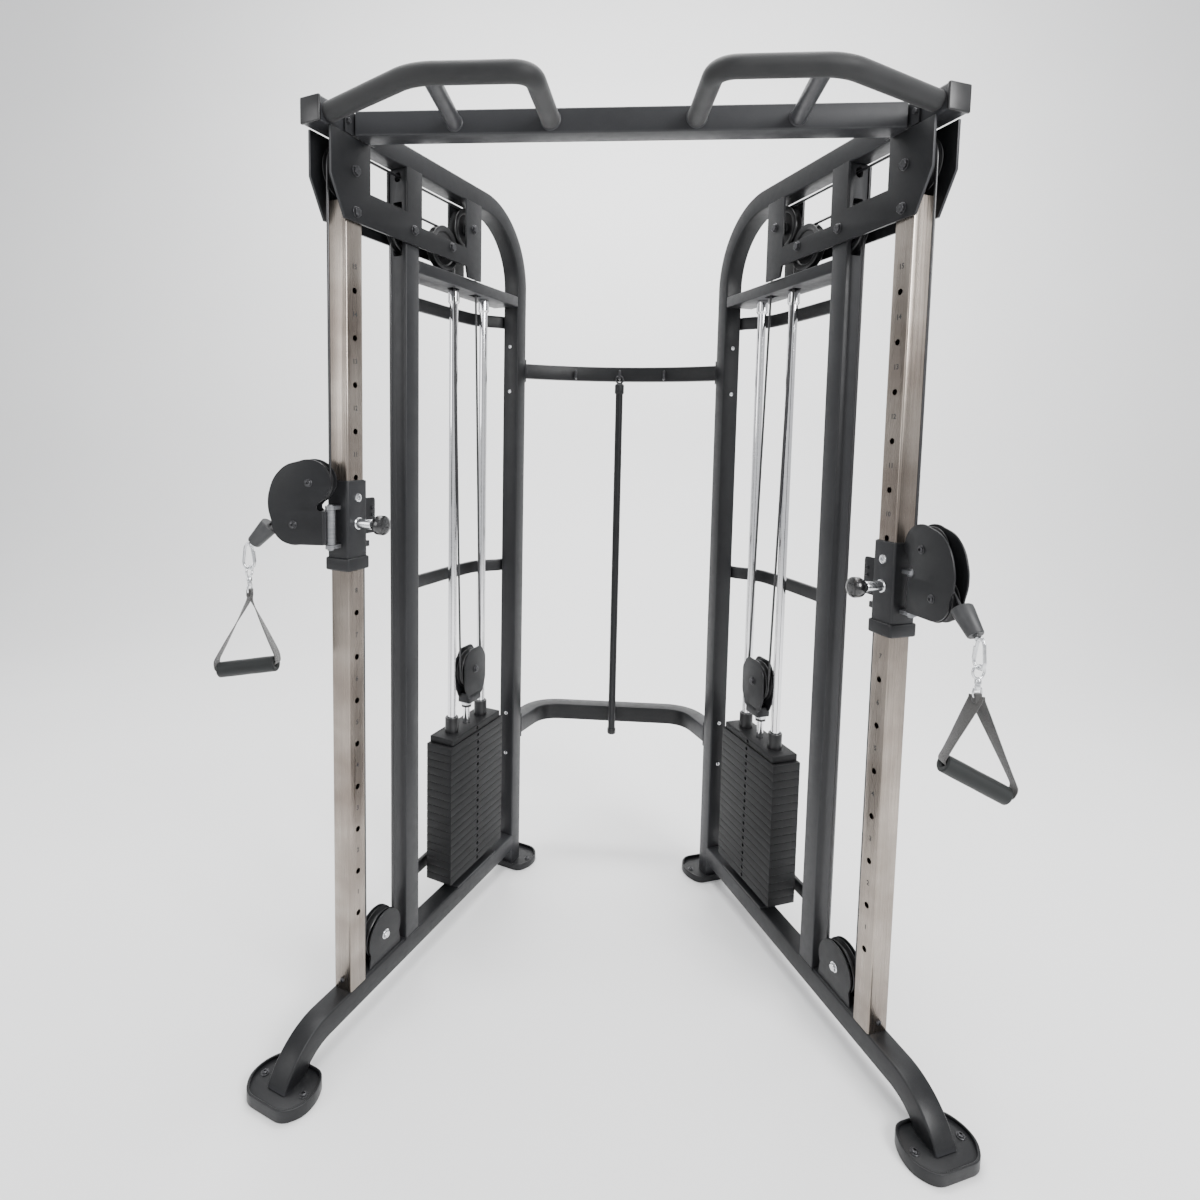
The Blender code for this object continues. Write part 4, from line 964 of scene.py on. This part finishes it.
    def cable(self):
        def turn(name, start, stop, steps=20):
            bend = arc(FRAME_PULLEYS[name], CABLE_TURN_R, start, stop, steps)
            return [self.p(MID, u, z) for u, z in bend]
        front, rear = turn("top_front", 180, 90), turn("top_rear", 90, -1.5)
        loop = [self.p(STACK_PULLEY_O, u, z) for u, z in
                arc((STACK_U, STACK_PULLEY_Z), CABLE_TURN_R, -2, -178, 32)]
        back, mid = turn("return", 2.4, 90), turn("mid", 90, 180)
        low = turn("low", 0, -180, 32)
        self.run("top_run", front + rear, "frame")
        self.run("return_run", back + mid + low, "frame")
        self.run("stack_loop", loop, "stack_head")
        anchor = self.p(MID, FRAME_PULLEYS["low"][0] - CABLE_TURN_R, self.pin - 0.058)
        neck = self.p(MID, SWIVEL_U, self.pin + SWIVEL_PULLEYS["upper"][1])
        for name, start, end, body in (("rear_drop", rear[-1], loop[0], "stack_head"),
                                       ("front_rise", back[0], loop[-1], "stack_head"),
                                       ("anchor_run", low[-1], anchor, "carriage"),
                                       ("front_drop", front[0], neck, "carriage")):
            ends = [tuple(self.matrix @ Vector(point)) for point in (start, end)]
            self.run(name, [start, end], ("frame", f"{self.name}_{body}", *ends), rows=40)
        arm = ([(0, a, z) for a, z in arc(SWIVEL_PULLEYS["upper"], SWIVEL_CABLE_R, 180, 259.3, 16)]
               + [(0, a, z) for a, z in arc(SWIVEL_PULLEYS["lower"], SWIVEL_CABLE_R, 79.3, 42, 10)])
        self.run("swivel_run", arm, "swivel_arm", self.arm_matrix)
        start, end = Vector(arm[-1]), Vector((0, *STOP_NEAR))
        pull = (f"{self.name}_swivel_arm", f"{self.name}_cable_end",
                tuple(self.arm_matrix @ start), tuple(self.arm_matrix @ end))
        self.run("pull_run", [start, end], pull, self.arm_matrix, rows=24)

    def build(self):
        for make in (self.base, self.arch, self.guards, self.mid_upright, self.post, self.header,
                     self.gussets, self.rods, self.stack, self.pulleys, self.carriage, self.swivel,
                     self.cable_end, self.handle, self.cable):
            make()


# ---- centre pieces ----
def side_xy(sign, o, u):
    point = side_matrix(sign) @ Vector((sign * o, u, 0))
    return (point.x, point.y)


def top_crossmember():
    half = POST_X - 0.012 * math.tan(SPLAY) - 0.004
    bar = sweep([(-half, -0.438, ARCH_Z), (0, -0.438, ARCH_Z), (half, -0.438, ARCH_Z)],
                SQUARE_TUBE, (0, 0, 1))
    add("top_crossmember", bar, COAT, "frame", ["top_crossmember"], ROOT)
    plates, heads = [], []
    for sign in (-1, 1):
        place = side_matrix(sign)
        plate = block((-sign * 0.0065, -0.030, 1.999), (-sign * 0.0005, 0.060, 2.045), 0.001)
        plates.append(moved(plate, place))
        for u in (-0.024, 0.052):
            head = bolt_head((-sign * 0.0065, u, ARCH_Z), (-sign, 0, 0), 0.006, True, 0)
            heads += [moved(mesh, place) for mesh in head]
    add("crossmember_flanges", plates, COAT, "frame", (), ROOT)
    add("crossmember_screws", heads, BOLT, "frame", (), ROOT)


def pull_up_bar(sign, side):
    bar_r, strut_r, strut_z = 0.0195, 0.0160, 2.019
    end = side_xy(sign, -0.0045, -0.070)
    corners = [(sign * 0.378, -0.655), (sign * 0.161, -0.655), (sign * 0.147, -0.4636)]
    path = rounded([end, *corners], 0.040, 12)
    bar = sweep([(x, y, ARCH_Z) for x, y in path], circle(bar_r, 40), (0, 0, 1))
    strut = lathe([(0, 0), (strut_r, 0), (strut_r, 0.186), (0, 0.186)],
                  aim((0, -1, 0), (sign * 0.346, -0.4640, strut_z)), 32)
    welds = [lathe([(r - 0.0015, 0), (r + 0.0022, 0), (r + 0.0014, 0.0022), (r - 0.0015, 0.0038)],
                   aim(way, at), 36, True)
             for r, way, at in ((strut_r, (0, -1, 0), (sign * 0.346, -0.4634, strut_z)),
                                (bar_r, (sign * 0.073, -1, 0), (sign * 0.1471, -0.4638, ARCH_Z)))]
    add(f"{side}_pull_up_bar", [bar], BAR, "frame", [f"{side}_pull_up_bar"], ROOT)
    add(f"{side}_pull_up_mount", [strut, *welds], COAT, "frame", (), ROOT)


def rear_mounts(z0, z1):
    plates, heads = [], []
    for sign in (-1, 1):
        place = side_matrix(sign)
        plate = block((sign * 0.001, 0.7428, z0 - 0.012), (sign * 0.049, 0.7488, z1 + 0.012), 0.001)
        plates.append(moved(plate, place))
        for z in (z0 - 0.005, z1 + 0.005):
            head = bolt_head((sign * 0.010, 0.7488, z), (0, 1, 0), 0.004, False, 0)
            heads += [moved(mesh, place) for mesh in head]
    return plates, heads


def rear_crossmembers():
    ends = [side_xy(sign, MID, 0.7455) for sign in (-1, 1)]
    rise = 0.345 - ends[0][1]
    radius = (ends[1][0] ** 2 + rise ** 2) / (2 * rise)
    half = math.degrees(math.asin(ends[1][0] / radius))
    bow = arc((0, 0.345 - radius), radius, 90 + half, 90 - half, 48)
    bar = sweep([(x, y, 1.5815) for x, y in bow], rounded_rect(0.030, 0.045, 0.004, 3), (0, 0, 1))
    plates, heads = rear_mounts(1.559, 1.604)
    add("rear_upper_crossmember", [bar, *plates], COAT, "frame", ["rear_upper_crossmember"], ROOT)
    hooks = []
    for x in (-0.138, 0.0, 0.138):
        face = math.sqrt((radius - 0.012) ** 2 - x ** 2) + 0.345 - radius
        hook = rounded([(x, face, 1.566), (x, 0.295, 1.566), (x, 0.295, 1.588)], 0.008, 8)
        hooks.append(sweep(hook, circle(0.004, 16), (1, 0, 0)))
        hooks.append(lathe([(0, 0), (0.004, 0), (0.0034, 0.0022), (0, 0.0036)],
                           Matrix.Translation((x, 0.295, 1.588)), 20))
    add("rear_hooks", hooks, BOLT, "frame", (), ROOT)
    lower = rounded([ends[0], (-0.250, 0.395), (0.250, 0.395), ends[1]], 0.075, 14)
    bar = sweep([(x, y, 0.450) for x, y in lower], rounded_rect(0.050, 0.052, 0.004, 3), (0, 0, 1))
    more, screws = rear_mounts(0.424, 0.476)
    add("rear_lower_crossmember", [bar, *more], COAT, "frame", ["rear_lower_crossmember"], ROOT)
    add("rear_mount_screws", heads + screws, BOLT, "frame", (), ROOT)


def accessory_bar():
    at = Matrix.Translation((0, 0.312, 0))
    bar = lathe([(0, 1.551), (0.008, 1.551), (0.012, 1.549), (0.0145, 1.545), (0.0145, 1.521),
                 (0.0130, 1.518), (0.0115, 1.517), (0.0115, 0.424), (0, 0.424)], at, 40)
    add("accessory_bar", bar, COAT, "accessory_bar", ["accessory_bar"], ROOT)
    tip = lathe([(0, 0.4245), (0.0135, 0.4245), (0.0137, 0.423), (0.0137, 0.411), (0.0120, 0.408),
                 (0, 0.408)], at, 40)
    add("accessory_bar_tip", tip, NYLON, "accessory_bar", (), ROOT)
    eye = sweep([(x, 0.312, 1.5623 + z) for z, x in circle(0.011, 30)], circle(0.003, 12), (0, 1, 0),
                closed=True)
    add("accessory_bar_eye", eye, BOLT, "accessory_bar", (), ROOT)


# ---- studio ----
def studio():
    """Pale floor that curves up into a backdrop."""
    floor_look = pale("studio_floor", (0.90, 0.90, 0.90))
    depth, wide = 3.6, 9.0
    path = [(-6.0, 0.0), (1.6, 0.0)] + arc((depth - 1.4, 1.4), 1.4, -90, 0, 20) + [(depth, 6.5)]
    bm = bmesh.new()
    rows = [[bm.verts.new((x, y, z - 0.0005)) for x in (-wide, wide)] for y, z in path]
    for one, two in zip(rows, rows[1:]):
        bm.faces.new((one[0], one[1], two[1], two[0]))
    mesh = mesh_of(bm, "floor")
    mesh.materials.append(floor_look.material)
    mesh.shade_smooth()
    floor = bpy.data.objects.new("floor", mesh)
    bpy.context.scene.collection.objects.link(floor)


def lamp(name, at, target, size, power, colour=(1, 1, 1)):
    light = bpy.data.lights.new(name, 'AREA')
    light.shape, light.size, light.size_y = 'RECTANGLE', size[0], size[1]
    light.energy, light.color = power, colour
    obj = bpy.data.objects.new(name, light)
    obj.location = at
    obj.rotation_euler = (Vector(target) - Vector(at)).to_track_quat('-Z', 'Y').to_euler()
    bpy.context.scene.collection.objects.link(obj)


def lights():
    world = bpy.data.worlds.new("studio")
    world.use_nodes = True
    back = world.node_tree.nodes["Background"]
    back.inputs["Color"].default_value = (0.93, 0.94, 0.96, 1)
    back.inputs["Strength"].default_value = 0.85
    bpy.context.scene.world = world
    lamp("key", (2.6, -3.0, 3.2), (-0.4, 0.2, 1.1), (1.8, 1.8), 210)
    lamp("fill", (-3.4, -2.6, 2.4), (0.3, 0.1, 1.0), (2.0, 2.0), 50)
    lamp("top", (0.0, 0.4, 4.2), (0.0, 0.2, 0.0), (3.0, 3.0), 170)
    lamp("backdrop", (0.0, 1.4, 4.6), (0.0, 3.6, 1.6), (5.0, 1.0), 160)


def camera():
    """Camera aimed by yaw, pitch and roll; a negative yaw turns it to the left."""
    yaw, pitch, roll = (math.radians(v) for v in (CAM_YAW, CAM_PITCH, CAM_ROLL))
    ahead = Vector((math.sin(yaw) * math.cos(pitch), math.cos(yaw) * math.cos(pitch), math.sin(pitch)))
    right = Vector((math.cos(yaw), -math.sin(yaw), 0))
    up = right.cross(ahead)
    rolled_right = right * math.cos(roll) + up * math.sin(roll)
    rolled_up = up * math.cos(roll) - right * math.sin(roll)
    data = bpy.data.cameras.new("camera")
    data.lens, data.sensor_width = CAM_LENS, 36.0
    data.shift_x, data.shift_y = CAM_SHIFT
    data.clip_start, data.clip_end = 0.05, 60
    cam = bpy.data.objects.new("camera", data)
    turn = Matrix((rolled_right, rolled_up, -ahead)).transposed().to_4x4()
    cam.matrix_world = ROOT @ Matrix.Translation(CAM_AT) @ turn
    bpy.context.scene.collection.objects.link(cam)
    bpy.context.scene.camera = cam


for tower in (Tower(LEFT), Tower(RIGHT)):
    tower.build()
top_crossmember()
pull_up_bar(-1, "left")
pull_up_bar(1, "right")
rear_crossmembers()
accessory_bar()
studio()
lights()
camera()
